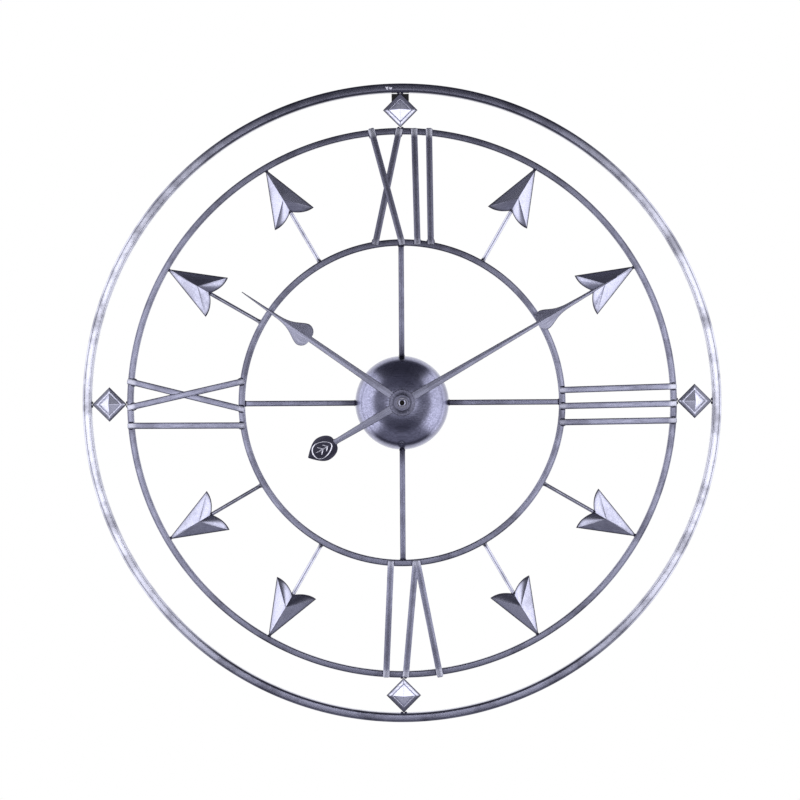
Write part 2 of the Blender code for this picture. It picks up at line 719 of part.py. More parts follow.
# ---------------------------------------------------------------- hands

def hand_blade(name, stations, back):
    """Creased blade through stations of (z, half width, crease height)."""
    edge = back - HAND_SHEET
    sections = []
    for z, half, crease in stations:
        section = [(-half, back), (-half, edge), (0, edge - crease), (half, edge), (half, back)]
        sections.append([(x, y, z) for x, y in section])
    return loft(name, sections)


def blend(start, end, steps, shape):
    """Stations between two, whose half width follows shape(t) from 0 to 1 and whose crease is linear."""
    rows = []
    for k in range(1, steps + 1):
        t = k / steps
        rows.append(tuple(a + (b - a) * w for a, b, w in zip(start, end, (t, shape(t), t))))
    return rows


def swell(t):
    """Quick rounded rise, as a quarter of a sine wave."""
    return math.sin(t * math.pi / 2)


def shoulder(t):
    """Round shoulder: a quarter circle that leaves the shaft squarely."""
    return math.sqrt(1 - (1 - t) ** 2)


def round_off(t):
    """The same quarter circle run backwards, which ends squarely."""
    return 1 - math.sqrt(1 - t ** 2)


def bell(t):
    """Bell-shaped fall, which rounds over, drops and then runs out into the needle."""
    return 1 - math.exp(-(2.7 * t) ** 1.7)


def straight(t):
    """Even taper."""
    return t


def blade_stations(first, runs):
    """Chain runs of (end station, steps, shape) after a first station."""
    stations = [first]
    for end, steps, shape in runs:
        stations += blend(stations[-1], end, steps, shape)
    return stations


def make_hands():
    """Hour and minute hand, each with its boss, and the nut in front."""
    hour_runs = (
        ((103.4, 2.75, 0.9), 2, straight),
        ((111.4, 11.0, 1.4), 6, shoulder),
        ((146.8, 1.5, 0.6), 9, bell),
        ((180.3, 0.4, 0.2), 2, straight),
    )
    hour = hand_blade("hour_hand", blade_stations((4.0, 3.7, 0.9), hour_runs), HOUR_HAND_BACK)
    boss = prism("boss", circle(HOUR_BOSS, 48), HOUR_HAND_BACK - 1.0, HOUR_HAND_BACK + 0.2)
    collet = prism("collet", circle(HOUR_COLLET, 32), HOUR_HAND_BACK - 2.0, HOUR_HAND_BACK - 0.5)
    join(hour, boss, collet)
    cut(hour, prism("cutter", circle(TUBE_OUTER + GAP), HOUR_HAND_BACK - 4, HOUR_HAND_BACK + 2))
    hour.rotation_euler.y = math.radians(HOUR_TURN)
    paint(hour, STEEL_DARK)

    minute_runs = (
        ((-84.0, 11.5, 0.0), 6, swell),
        ((-71.5, 2.8, 0.0), 6, round_off),
        ((-4.0, 3.9, 0.9), 2, straight),
        ((145.0, 1.85, 0.7), 3, straight),
        ((152.3, 9.35, 1.2), 6, shoulder),
        ((185.0, 2.0, 0.6), 9, bell),
        ((230.0, 0.35, 0.2), 2, straight),
    )
    minute = hand_blade("minute_hand", blade_stations((-100.5, 0.4, 0.0), minute_runs), MINUTE_HAND_BACK)
    boss = prism("boss", circle(MINUTE_BOSS, 48), MINUTE_HAND_BACK - 1.0, MINUTE_HAND_BACK + 0.2)
    collet = prism("collet", circle(MINUTE_COLLET, 32), MINUTE_HAND_BACK - 2.0, MINUTE_HAND_BACK - 0.5)
    join(minute, boss, collet)
    cut(minute, prism("cutter", circle(SHAFT_RADIUS + GAP), MINUTE_HAND_BACK - 4, MINUTE_HAND_BACK + 2))
    minute.rotation_euler.y = math.radians(MINUTE_TURN)
    paint(minute, STEEL)

    nut_back = MINUTE_HAND_BACK - 2.3
    nut = prism("hand_nut", gear_outline(*NUT_TEETH), nut_back - NUT_HEIGHT, nut_back)
    cut(nut, prism("cutter", circle(SHAFT_RADIUS + GAP), nut_back - 4, nut_back + 1))
    nut.rotation_euler.y = math.radians(MINUTE_TURN)
    paint(nut, NICKEL)


clear_scene()
make_rings()
make_numerals()
make_spokes()
make_arrows()
make_diamonds()
make_hanger()
make_hub()
make_case()
make_fixings()
make_battery()
make_electrics()
make_train()
make_motion_work()
make_hands()
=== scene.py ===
"""Looks of a skeleton wall clock: brushed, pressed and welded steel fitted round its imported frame.

Lengths are millimetres until surface() puts them in a mesh. The dial faces -Y and twelve o'clock is +Z.
A piece is drawn at twelve o'clock as (across, depth, outward) and then turned clockwise to its hour.
"""

import math

import bmesh
import bpy
import numpy as np
from mathutils import Matrix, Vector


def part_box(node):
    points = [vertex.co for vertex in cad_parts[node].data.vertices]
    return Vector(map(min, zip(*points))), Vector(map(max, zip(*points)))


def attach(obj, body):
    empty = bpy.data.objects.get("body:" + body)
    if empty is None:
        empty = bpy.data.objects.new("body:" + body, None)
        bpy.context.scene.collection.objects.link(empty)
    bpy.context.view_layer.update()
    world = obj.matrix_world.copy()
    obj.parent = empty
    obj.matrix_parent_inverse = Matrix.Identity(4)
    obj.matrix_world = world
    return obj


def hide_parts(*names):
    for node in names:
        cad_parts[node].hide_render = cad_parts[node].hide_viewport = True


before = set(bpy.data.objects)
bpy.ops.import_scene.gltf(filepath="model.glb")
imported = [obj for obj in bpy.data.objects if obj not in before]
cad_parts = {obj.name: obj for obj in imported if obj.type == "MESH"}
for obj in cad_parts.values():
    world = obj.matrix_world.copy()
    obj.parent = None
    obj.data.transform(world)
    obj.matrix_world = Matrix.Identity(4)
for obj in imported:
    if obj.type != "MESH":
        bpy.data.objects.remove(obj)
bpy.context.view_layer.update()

MM = 0.001
CORNERS = (3, 6, 9, 12)
ARROW_HOURS = (1, 2, 4, 5, 7, 8, 10, 11)


def box_mm(node):
    """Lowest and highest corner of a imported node, in millimetres."""
    low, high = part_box(node)
    return np.array(low) / MM, np.array(high) / MM


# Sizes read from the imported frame, as (outer radius, front, back)
OUTER, MIDDLE, INNER = ((box_mm(n)[1][0], box_mm(n)[0][1], box_mm(n)[1][1])
                        for n in ("outer_ring", "middle_ring", "inner_ring"))
OUTER_WIDTH = 8.6
MIDDLE_WIDTH = 6.1
INNER_WIDTH = 6.2
MIDDLE_BORE = MIDDLE[0] - MIDDLE_WIDTH
INNER_BORE = INNER[0] - INNER_WIDTH

# Numeral bars: name, hour, clockwise offset at the outer and at the inner end
NUMERAL_BARS = (
    ("xii_cross_front", 12, -27.7, 1.4),
    ("xii_cross_back", 12, -0.7, -24.4),
    ("xii_upright_left", 12, 12.9, 15.4),
    ("xii_upright_right", 12, 26.8, 27.9),
    ("iii_upright_top", 3, -13.9, -11.0),
    ("iii_upright_middle", 3, 2.2, 4.0),
    ("iii_upright_bottom", 3, 18.0, 19.2),
    ("vi_upright", 6, 16.5, 11.3),
    ("vi_v_left", 6, -1.8, -12.0),
    ("vi_v_right", 6, -34.4, -13.1),
    ("ix_cross_back", 9, 22.1, -5.5),
    ("ix_cross_front", 9, -3.3, 21.3),
    ("ix_upright", 9, -20.1, -20.4),
)
BAR_OUT = MIDDLE[0] - 0.6
BAR_IN = INNER_BORE + 0.5
BAR_WIDTH = 6.0
BAR_FRONT = -10.0
BAR_BACK = -7.3
BAR_LAP = 0.15                  # how far the rear bar of a crossed pair sits behind the front one
BAR_CORNER = 0.45               # rounding of a bar's long edges
BAR_SOFT = 1.5                  # rounding of its four corners, seen from the front
BAR_CROWN = 0.12                # how far its front face is barrelled
BAR_RIM = 0.12                  # strength of the shade painted on its sides
RING_RIM = 0.45                 # the same painted shade on the rings' sides

SPOKE_WIDTH = 5.2
SPOKE_SHADE = 12.0              # length of the painted shade on a spoke's end, where it meets the dome
HUB_RADIUS = box_mm("hub_dome")[1][0]
HUB_BACK = box_mm("hub_dome")[1][1]
HUB_FRONT = box_mm("hub_dome")[0][1]

ARROW_TIP = MIDDLE_BORE - 0.3
ARROW_BARB = ARROW_TIP - 51.6
ARROW_NOTCH = ARROW_TIP - 44.0
ARROW_APEX = ARROW_TIP - 31.5
ARROW_HALF = 21.2
ARROW_BLUNT = 0.9
ARROW_REAR_BOW = 2.6
ARROW_RIM = -6.0
ARROW_RISE = 9.0
ROD_AXIS = -4.5
ROD_RADIUS = 1.8

STUD_CENTRE = (OUTER[0] - OUTER_WIDTH + MIDDLE[0]) / 2
STUD_HALF = (OUTER[0] - OUTER_WIDTH - MIDDLE[0]) / 2 - 0.3
STUD_FRONT = -6.5
STUD_BORDER = 4.0
STUD_RISE = 7.5                 # peak of a stud above its edge
STUD_FOOT = 6.4                 # and above the foot of its pyramid

HAND_SHEET = 0.6
FOLD_FALL = 0.10                # slope of a hand's two faces
LEAF_HALF = 11.5
NUT_RIBS = 28
BORDER_HALF = 25.4              # half the width of the raised border on the case back
ARBOR_REACH = 1.85              # radius of the near-black cap at the end of the minute arbor, painted shade in the nut's bore
MINUTE_TURN = 60.0
HOUR_TURN = 305.0


# ---------------------------------------------------------------- mesh helpers

def surface(name, grid, closed=(False, True), sharp=28.0, rim=0.0):
    """Mesh of quads through a grid of points, (rows, columns, 3), or through several such grids.

    closed says whether the last row and the last column join the first. The UV map is the distance run
    along the rows and round the columns, in metres. Points that coincide are merged, which closes poles.
    rim, from 0 to 1 for each row and column, says where an edge tone is painted, mostly shade on sides, rims
    and joins; it becomes an attribute.
    """
    grid = np.asarray(grid, float)
    grid = grid[None] if grid.ndim == 3 else grid
    count, rows, columns = grid.shape[:3]
    i, j = np.meshgrid(np.arange(rows - (not closed[0])), np.arange(columns - (not closed[1])), indexing="ij")
    i = np.stack([i, i, i + 1, i + 1], -1)
    j = np.stack([j, j + 1, j + 1, j], -1)
    faces = ((i % rows) * columns + j % columns).reshape(1, -1, 4)
    faces = faces + np.arange(count)[:, None, None] * rows * columns
    run = np.linalg.norm(np.diff(grid, axis=1, append=grid[:, :1]), axis=-1).mean((0, 2))
    girth = np.linalg.norm(np.diff(grid, axis=2, append=grid[:, :, :1]), axis=-1).mean((0, 1))
    run = np.append(0, np.cumsum(run)) * MM
    girth = np.append(0, np.cumsum(girth)) * MM
    uv = np.tile(np.stack([run[i], girth[j]], -1).reshape(-1, 2), (count, 1))

    mesh = bpy.data.meshes.new(name)
    mesh.from_pydata(grid.reshape(-1, 3) * MM, [], faces.reshape(-1, 4).tolist())
    mesh.uv_layers.new(name="run").data.foreach_set("uv", uv.ravel())
    rim = np.broadcast_to(rim, grid.shape[:3])
    mesh.attributes.new("rim", "FLOAT", "POINT").data.foreach_set("value", rim.ravel())
    return finished(name, mesh, sharp)


def finished(name, mesh, sharp):
    """Object of a mesh whose doubles are merged, whose faces point outwards and whose creases are sharp."""
    bm = bmesh.new()
    bm.from_mesh(mesh)
    bmesh.ops.remove_doubles(bm, verts=bm.verts, dist=2e-7)
    bmesh.ops.recalc_face_normals(bm, faces=bm.faces)
    bm.to_mesh(mesh)
    bm.free()
    mesh.shade_smooth()
    mesh.set_sharp_from_angle(angle=math.radians(sharp))
    piece = bpy.data.objects.new(name, mesh)
    bpy.context.scene.collection.objects.link(piece)
    return piece


def turned_to(points, degrees):
    """Points turned clockwise about the dial axis: x' = x cos a + z sin a and z' = z cos a - x sin a."""
    angle = math.radians(degrees)
    cos, sin = math.cos(angle), math.sin(angle)
    x, y, z = np.moveaxis(np.asarray(points, float), -1, 0)
    return np.stack([x * cos + z * sin, y, z * cos - x * sin], -1)


def full_turn(steps):
    """Equal angles round a full turn, from 0."""
    return 2 * np.pi * np.arange(steps) / steps


def round_dial(radius, level, angle):
    """Points at a radius and level, clockwise round the dial axis: (r sin a, level, r cos a)."""
    return np.stack(np.broadcast_arrays(radius * np.sin(angle), level, radius * np.cos(angle)), -1)


def capped(grid):
    """A grid closed at both ends by a pole: one more row, shrunk to the middle of the last one."""
    caps = grid[[0, -1]].mean(1, keepdims=True) + 0 * grid[[0, -1]]
    return np.concatenate([caps[:1], grid, caps[1:]])


def bevelled(piece, width, angle=25.0):
    """Ease the sharp edges of a piece by a small round of the given width."""
    bevel = piece.modifiers.new("Eased", "BEVEL")
    bevel.width = width * MM
    bevel.segments = 2
    bevel.limit_method = "ANGLE"
    bevel.angle_limit = math.radians(angle)
    return piece


def fitted(piece, material, body="frame", stands_for=()):
    """Give a piece its finish, the body that it rides on and the nodes it stands for."""
    piece.data.materials.clear()
    piece.data.materials.append(material)
    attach(piece, body)
    if stands_for:
        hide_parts(*stands_for)
    return piece


def eased_copy(node, width, name):
    """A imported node's mesh, merged, with its flat triangles joined up and its edges eased."""
    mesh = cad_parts[node].data.copy()
    bm = bmesh.new()
    bm.from_mesh(mesh)
    bmesh.ops.remove_doubles(bm, verts=bm.verts, dist=1e-6)
    bmesh.ops.dissolve_limit(bm, angle_limit=math.radians(1), verts=bm.verts, edges=bm.edges)
    bm.to_mesh(mesh)
    bm.free()
    return bevelled(finished(name, mesh, 30.0), width)


def bar_section(width, depth, corner, crown):
    """Section of a flat bar, (across, depth): four quarter circles joined by straight sides.

    The front side is lifted by crown * (1 - (2 across / width)^2), so that it is a little barrelled.
    The third column is the rim value: 1 from the front corners backwards, and 0 on the front face.
    """
    quarter = np.arange(4)[:, None] + np.linspace(0, 1, 5)
    across = (width / 2 - corner) * np.array([[1], [-1], [-1], [1]]) + corner * np.cos(quarter * np.pi / 2)
    level = (depth / 2 - corner) * np.array([[1], [1], [-1], [-1]]) + corner * np.sin(quarter * np.pi / 2)
    face = np.linspace(corner - width / 2, width / 2 - corner, 11)[1:-1]
    across = np.concatenate([across[:3].ravel(), face, across[3]])
    level = np.concatenate([level[:3].ravel(), 0 * face - depth / 2, level[3]])
    lift = crown * (1 - (2 * across / width) ** 2) * (level < 0)
    rim = np.clip((np.abs(across) - width / 2 + corner) / corner * 2.2, 0, 1) * (level < depth / 2 - corner)
    return np.stack([across, level - lift, rim], -1)


def flat_bar(start, end, width, front, back, corner, soft, crown):
    """Grid of a flat bar between two (across, outward) points.

    Its section is carried along the line. Near each end the half width falls by a quarter circle of
    radius soft and the half depth by one of radius corner, and the last row shrinks to a pole. The
    section's rim values are returned beside the grid.
    """
    start = np.array(start, float)
    run = np.array(end, float) - start
    length = np.linalg.norm(run)
    along = run / length
    near = soft * (1 - np.cos(np.linspace(0, np.pi / 2, 7)))
    station = np.concatenate([near, np.linspace(soft, length - soft, 14)[1:-1], length - near[::-1]])
    inset = np.minimum(station, length - station)[:, None]
    depth = back - front - crown
    ends = [1 - 2 * r / size * (1 - np.sqrt(1 - np.clip((r - inset) / r, 0, 1) ** 2))
            for r, size in ((soft, width), (corner, depth))]
    section = bar_section(width, depth, corner, crown)
    across = section[:, 0] * ends[0]
    level = back - depth / 2 + section[:, 1] * ends[1]
    x = start[0] + along[0] * station[:, None] - along[1] * across
    z = start[1] + along[1] * station[:, None] + along[0] * across
    return capped(np.stack([x, level, z], -1)), section[:, 2]


def outline_through(corners, bows, steps):
    """Closed outline through (across, outward) corners; each side is moved by its bow * 4 t (1 - t)."""
    corners = np.array(corners, float)[:, None]
    t = (np.arange(steps) / steps)[None, :, None]
    sides = corners * (1 - t) + np.roll(corners, -1, 0) * t + np.array(bows, float)[:, None] * 4 * t * (1 - t)
    return sides.reshape(-1, 2)


def pressed(outline, centre, profile, front, sheet):
    """Grid of a pressed plate: the outline is drawn in towards the centre as the profile rises.

    profile holds (share of the way from the peak to the rim, level), and the back is the same surface
    moved back by the thickness of the sheet.
    """
    share, level = np.array(profile + [(s, y + sheet) for s, y in reversed(profile)]).T
    outline = np.asarray(outline)
    x = centre[0] + (outline[:, 0] - centre[0]) * share[:, None]
    z = centre[1] + (outline[:, 1] - centre[1]) * share[:, None]
    return np.stack(np.broadcast_arrays(x, front + level[:, None], z), -1)


def plate_rim(profile):
    """Rim values of a pressed plate's rows: 1 over the last part of the front, where a thin line of shade is
    painted round the rim.
    """
    share = np.array([s for s, _ in profile])
    front = np.clip((share - 0.93) / 0.03, 0, 1)
    return np.concatenate([front, 0 * share])[:, None]


def turned(profile, steps=96):
    """Grid of a profile of (radius, depth) points turned about the dial axis."""
    radius, level = np.array(profile, float).T[:, :, None]
    return round_dial(radius, level, full_turn(steps))


def tube(path, radius, steps=12, closed=False):
    """Grid of a round tube whose radius may change along a path in a plane of constant depth."""
    path = np.asarray(path, float)
    ahead = np.roll(path, -1, 0) - np.roll(path, 1, 0) if closed else np.gradient(path, axis=0)
    ahead /= np.linalg.norm(ahead, axis=1, keepdims=True)
    side = np.cross(ahead, (0, 1, 0))
    angle = full_turn(steps)
    radius = np.broadcast_to(radius, len(path))[:, None, None]
    ring = side[:, None] * np.cos(angle)[:, None] + np.array([0, 1, 0]) * np.sin(angle)[:, None]
    return path[:, None] + radius * ring


def weld_beads(name, lines, radius, material, body="frame", rough=1.0):
    """Short weld beads as one piece. Each is a tube along its line, closed at both ends.

    Its radius is r * sqrt(sin(pi t)) with ripples of a few tenths, as the pool freezes in steps. rough
    is 1 for weld metal and 0 for a smooth raised line.
    """
    lines = np.array(lines, float)
    draw = np.random.default_rng(11)
    t = np.linspace(0, 1, 17)
    centre = lines[:, :1] * (1 - t)[None, :, None] + lines[:, 1:] * t[None, :, None]
    ahead = lines[:, 1] - lines[:, 0]
    ahead /= np.linalg.norm(ahead, axis=1, keepdims=True)
    side = np.cross(ahead, (0, 1, 0))
    deep = np.cross(side, ahead)
    angle = full_turn(12)
    ring = side[:, None] * np.cos(angle)[None, :, None] + deep[:, None] * np.sin(angle)[None, :, None]
    ripple = 1 + 0.16 * rough * np.sin(t[None] * 19 + draw.uniform(0, 6, (len(lines), 1)))
    lump = 1 + 0.12 * rough * draw.normal(size=(len(lines), len(t), len(angle)))
    thick = radius * np.sqrt(np.sin(np.pi * t))[None] * ripple
    grid = centre[:, :, None] + (thick[:, :, None] * lump)[..., None] * ring[:, None]
    return fitted(surface(name, grid, sharp=60.0), material, body)


# ---------------------------------------------------------------- material helpers

def linear(colour):
    """Linear RGBA of an sRGB hex colour."""
    channels = [int(colour[i:i + 2], 16) / 255 for i in (1, 3, 5)]
    return [c / 12.92 if c <= 0.04045 else ((c + 0.055) / 1.055) ** 2.4 for c in channels] + [1.0]


def add(tree, kind, values=None, links=None, **settings):
    """Add a node, set its own settings and the values of its sockets, and link its inputs."""
    made = tree.nodes.new(kind)
    for key, value in settings.items():
        setattr(made, key, value)
    for key, value in (values or {}).items():
        made.inputs[key].default_value = value
    for key, source in (links or {}).items():
        tree.links.new(source, made.inputs[key])
    return made


def new_material(name):
    """A material with nothing in it but its Principled shader and its output."""
    material = bpy.data.materials.new(name)
    material.use_nodes = True
    tree = material.node_tree
    return material, tree, tree.nodes["Principled BSDF"]


def toned(tree, factor, low, high):
    """Colour between two tones; each is an sRGB hex colour or the output of another node."""
    mix = add(tree, "ShaderNodeMix", {}, {0: factor}, data_type="RGBA")
    for socket, tone in ((6, low), (7, high)):
        if isinstance(tone, str):
            mix.inputs[socket].default_value = linear(tone)
        else:
            tree.links.new(tone, mix.inputs[socket])
    return mix.outputs[2]


def paint_light_and_wear(tree, colour, place, top_shade, side_highlight, worn):
    """Painted light and wear over a colour: painted shade round twelve o'clock, painted highlight at both
    sides.

    With r the distance from the dial axis, the painted shade follows z / r and the painted highlight |x| / r.
    Each row of worn gives the radii in millimetres between which a wear to bright grows, and its strength.
    """
    x, _, z = add(tree, "ShaderNodeSeparateXYZ", {}, {0: place}).outputs
    flat = add(tree, "ShaderNodeCombineXYZ", {}, {"X": x, "Z": z})
    off = add(tree, "ShaderNodeVectorMath", {}, {0: flat.outputs[0]}, operation="LENGTH").outputs["Value"]
    side = add(tree, "ShaderNodeMath", {}, {0: x}, operation="ABSOLUTE").outputs[0]
    # what is divided by r, the shares between which a tone grows, its strength and the tone
    # the first row paints shade round twelve o'clock, the second paints highlight at both sides
    for value, low, high, most, tone in ((z, 0.68, 0.97, top_shade, TARNISH_AND_SHADE), (side, 0.5, 0.9, side_highlight, WEAR_AND_HIGHLIGHT)):
        share = add(tree, "ShaderNodeMath", {}, {0: value, 1: off}, operation="DIVIDE").outputs[0]
        much = add(tree, "ShaderNodeMapRange", {"From Min": low, "From Max": high, "To Max": most},
                   {"Value": share}).outputs[0]
        colour = toned(tree, much, colour, tone)
    for low, high, most in worn:
        much = add(tree, "ShaderNodeMapRange", {"From Min": low * MM, "From Max": high * MM, "To Max": most},
                   {"Value": off}).outputs[0]
        colour = toned(tree, much, colour, WEAR_AND_HIGHLIGHT)
    return colour


def brushed_steel(name, light, dark, roughness, grain=0.28, run=14.0, follows="run", relief=0.006,
                  tarnish=0.55, painted_edge="#2C2B38", top_shade=0.0, side_highlight=0.0, worn=()):
    """Brushed mild steel under thin tinted lacquer: fine long scratches, dark tarnish and a clear sheen.

    grain and run are the width and length of a scratch in millimetres. follows is the UV map, for
    scratches along the piece, or an axis letter, for straight ones across it. tarnish is how much of
    the piece is clouded. The edge tone is painted where the rim attribute is set, mostly as shade on
    sides, rims and joins. The last three arguments set painted shade round twelve o'clock, painted
    highlight at both sides and bright wear between given radii.
    """
    material, tree, shader = new_material(name)
    coordinates = add(tree, "ShaderNodeTexCoord")
    across = 1 / (grain * MM)
    along = 1 / (run * MM)
    if follows == "run":
        place = coordinates.outputs["UV"]
        scale = (along, across, across)
    else:
        place = coordinates.outputs["Object"]
        scale = tuple(along if axis == follows else across for axis in "XYZ")
    lines = add(tree, "ShaderNodeMapping", {"Scale": scale}, {"Vector": place})
    scratches = add(tree, "ShaderNodeTexNoise", {"Scale": 1.0, "Detail": 4.0, "Roughness": 0.62},
                    {"Vector": lines.outputs["Vector"]}).outputs["Fac"]
    streak = add(tree, "ShaderNodeMapRange", {"From Min": 0.3, "From Max": 0.7},
                 {"Value": scratches}).outputs[0]
    clouds = add(tree, "ShaderNodeTexNoise",
                 {"Scale": 1 / (TARNISH_PATCH * MM), "Detail": 5.0, "Roughness": 0.6},
                 {"Vector": coordinates.outputs["Object"]}).outputs["Fac"]
    cloud = add(tree, "ShaderNodeMapRange", {"From Min": 0.48, "From Max": 0.66, "To Max": tarnish},
                {"Value": clouds}).outputs[0]
    rim = add(tree, "ShaderNodeAttribute", attribute_name="rim").outputs["Fac"]
    colour = toned(tree, streak, dark, light)
    # painted shade round twelve o'clock, painted highlight at the sides, and bright wear
    if top_shade:
        colour = paint_light_and_wear(tree, colour, coordinates.outputs["Object"], top_shade, side_highlight, worn)
    colour = toned(tree, cloud, colour, TARNISH_AND_SHADE)
    # the edge tone, painted where the rim attribute is set: mostly shade on sides, rims and joins
    colour = toned(tree, rim, colour, painted_edge)
    gloss = add(tree, "ShaderNodeMapRange", {"From Min": 0.3, "From Max": 0.7, "To Min": roughness + 0.05,
                                             "To Max": roughness - 0.05}, {"Value": scratches})
    bump = add(tree, "ShaderNodeBump", {"Strength": 0.5, "Distance": relief * MM}, {"Height": scratches})
    tree.links.new(colour, shader.inputs["Base Color"])
    tree.links.new(gloss.outputs[0], shader.inputs["Roughness"])
    tree.links.new(bump.outputs["Normal"], shader.inputs["Normal"])
    shader.inputs["Metallic"].default_value = 1.0
    shader.inputs["Coat Weight"].default_value = 0.1
    shader.inputs["Coat Roughness"].default_value = 0.12
    return material


def grained(name, light, dark, grain, roughness, metallic=0.0, relief=0.01, coat=0.0, stretch=(1, 1, 1)):
    """A finish whose colour wanders between two tones, with its gloss and relief in the same grain.

    grain is the size of a speck in millimetres, and stretch makes specks longer along X, Y or Z.
    """
    material, tree, shader = new_material(name)
    coordinates = add(tree, "ShaderNodeTexCoord")
    place = add(tree, "ShaderNodeMapping", {"Scale": tuple(1 / (grain * MM * s) for s in stretch)},
                {"Vector": coordinates.outputs["Object"]})
    specks = add(tree, "ShaderNodeTexNoise", {"Scale": 1.0, "Detail": 3.0},
                 {"Vector": place.outputs["Vector"]}).outputs["Fac"]
    spread = add(tree, "ShaderNodeMapRange", {"From Min": 0.3, "From Max": 0.7}, {"Value": specks}).outputs[0]
    gloss = add(tree, "ShaderNodeMapRange", {"To Min": roughness - 0.06, "To Max": roughness + 0.06},
                {"Value": specks})
    bump = add(tree, "ShaderNodeBump", {"Strength": 0.6, "Distance": relief * MM}, {"Height": specks})
    tree.links.new(toned(tree, spread, dark, light), shader.inputs["Base Color"])
    tree.links.new(gloss.outputs[0], shader.inputs["Roughness"])
    tree.links.new(bump.outputs["Normal"], shader.inputs["Normal"])
    shader.inputs["Metallic"].default_value = metallic
    shader.inputs["Coat Weight"].default_value = coat
    return material


# Tones of violet-grey tarnish clouds a few centimetres long, also painted as shade round twelve o'clock, and
# of steel rubbed back to bright, also painted as highlight at the sides
TARNISH_AND_SHADE = "#4A4957"
WEAR_AND_HIGHLIGHT = "#E2E3EE"
TARNISH_PATCH = 26.0

# Brushed steel under lavender-grey lacquer: long fine scratches that pull reflections out across them;
# painted shade round twelve o'clock and painted highlight at both sides
RING_STEEL = brushed_steel("ring_brushed_lacquered_steel", "#BDBED0", "#8C8DA2", 0.2, tarnish=0.6,
                           top_shade=0.6, side_highlight=0.75)
# The two inner rings are a darker tone, with less painted shade round twelve o'clock and no painted highlight
INNER_STEEL = brushed_steel("inner_ring_brushed_lacquered_steel", "#A2A3B6", "#717285", 0.22, tarnish=0.6,
                            top_shade=0.45)
# Numeral bars are dressed flat over the rings after welding, so their ends are worn bright; painted shade
# darkens them round twelve o'clock
NUMERAL_STEEL = brushed_steel("numeral_brushed_lacquered_steel", "#A2A3B6", "#717285", 0.2, tarnish=0.4,
                              top_shade=0.6, worn=((249.5, 253.0, 0.5), (156.0, 152.5, 0.3)))
SPOKE_STEEL = brushed_steel("spoke_brushed_lacquered_steel", "#9C9DB2", "#6A6A7E", 0.24)
# Rods are drawn bright and stay a little lighter
ROD_STEEL = brushed_steel("rod_drawn_lacquered_steel", "#D2D3E2", "#A9AABC", 0.18, run=25.0)
# Pressed sheet is rubbed across by hand, so it is a little cloudier and brighter than the bars
MARKER_STEEL = brushed_steel("pressed_lacquered_steel", "#C2C3D4", "#9192A6", 0.27, grain=0.5, run=9.0,
                             follows="X", relief=0.003, tarnish=0.3)
# Studs are buffed last, so they are the brightest and glossiest pieces
STUD_STEEL = brushed_steel("buffed_lacquered_stud", "#D6D7E6", "#A6A7BA", 0.17, grain=0.5, run=6.0,
                           follows="X", relief=0.003, tarnish=0.3, painted_edge="#3A3946")
# Spun dome, brushed in straight lines from side to side after spinning
HUB_STEEL = brushed_steel("dome_brushed_lacquered_steel", "#A4A5BC", "#57576D", 0.24, grain=0.45, run=60.0,
                          follows="X", relief=0.014, tarnish=0.25)
# Hands: thin sheet brushed lightly along its length, with little tarnish and painted shade along its edges
HAND_STEEL = brushed_steel("hand_brushed_lacquered_sheet", "#BCBDCF", "#9293A8", 0.24, grain=0.3, run=20.0,
                           relief=0.0015, tarnish=0.3)
# Bosses and the leaf on the tail keep a thicker, darker coat
DARK_STEEL = brushed_steel("thick_dark_lacquered_sheet", "#8A8A9C", "#5A5A6C", 0.28, grain=0.3, run=6.0,
                           tarnish=0.5, painted_edge="#1C1C26")
LEAF_STEEL = brushed_steel("tail_dark_lacquered_sheet", "#4C4B5A", "#383744", 0.3, grain=0.3, run=6.0,
                           tarnish=0.3, painted_edge="#6A6B7E")
# Raised lines of the leaf, rubbed back to bright metal; on the ground spots of the outer ring the same tone
# paints glints
RELIEF_STEEL = grained("rubbed_bright_relief", "#F2F2F8", "#CFCFDC", 0.8, 0.36, 1.0, 0.004)
# Weld metal under the lacquer: dark, scaly and dull
WELD_STEEL = grained("lacquered_weld_scale", "#57566A", "#1E1C28", 1.3, 0.42, 1.0, 0.08)
# Brushed-on satin black over sheet steel
BLACK_PAINT = grained("satin_black_paint", "#121214", "#09090A", 0.8, 0.5, 0.0, 0.02, coat=0.05)
# Electroplated nickel: bright with a faint drawing grain
NICKEL = grained("nickel_plate", "#D8D5D0", "#B9B6B2", 0.4, 0.2, 1.0, 0.003)
# Nickel plate on a knurled nut, painted darker to stand for the shade between its ribs
SHADED_NUT_NICKEL = grained("nickel_plate_painted_shade", "#9C9BA8", "#4E4D58", 0.35, 0.26, 1.0, 0.006)
# Turned brass: tool rings and a warm tarnish
BRASS = grained("turned_brass", "#D9B25C", "#A97F35", 0.35, 0.26, 1.0, 0.006)
# Near-black brass at the end of the arbor: painted shade deep in the nut's bore
BORE_SHADE_BLACK = grained("bore_painted_shade", "#1C1914", "#0B0A08", 0.3, 0.6, 0.6, 0.01)
# Black ABS from a spark-eroded mould: an even matt speckle
BLACK_ABS = grained("spark_textured_black_abs", "#242428", "#131316", 0.3, 0.48, 0.0, 0.025)
# Acetal: milky, waxy and smooth
ACETAL = grained("natural_acetal", "#F1EFE6", "#E2DFD2", 1.5, 0.36, 0.0, 0.004)
# Nitrile rubber: dead matt
NITRILE = grained("nitrile_rubber", "#1D1D1D", "#121212", 0.5, 0.82, 0.0, 0.02)
# Epoxy board under green solder mask: glassy
SOLDER_MASK = grained("green_solder_mask", "#1F6B3C", "#154D2B", 0.6, 0.3, 0.0, 0.004, coat=0.5)
# Enamelled copper in close turns along the bobbin
COPPER_WINDING = grained("enamelled_copper_winding", "#C4713F", "#7E3C1E", 0.12, 0.32, 1.0, 0.02,
                         stretch=(1, 8, 8))
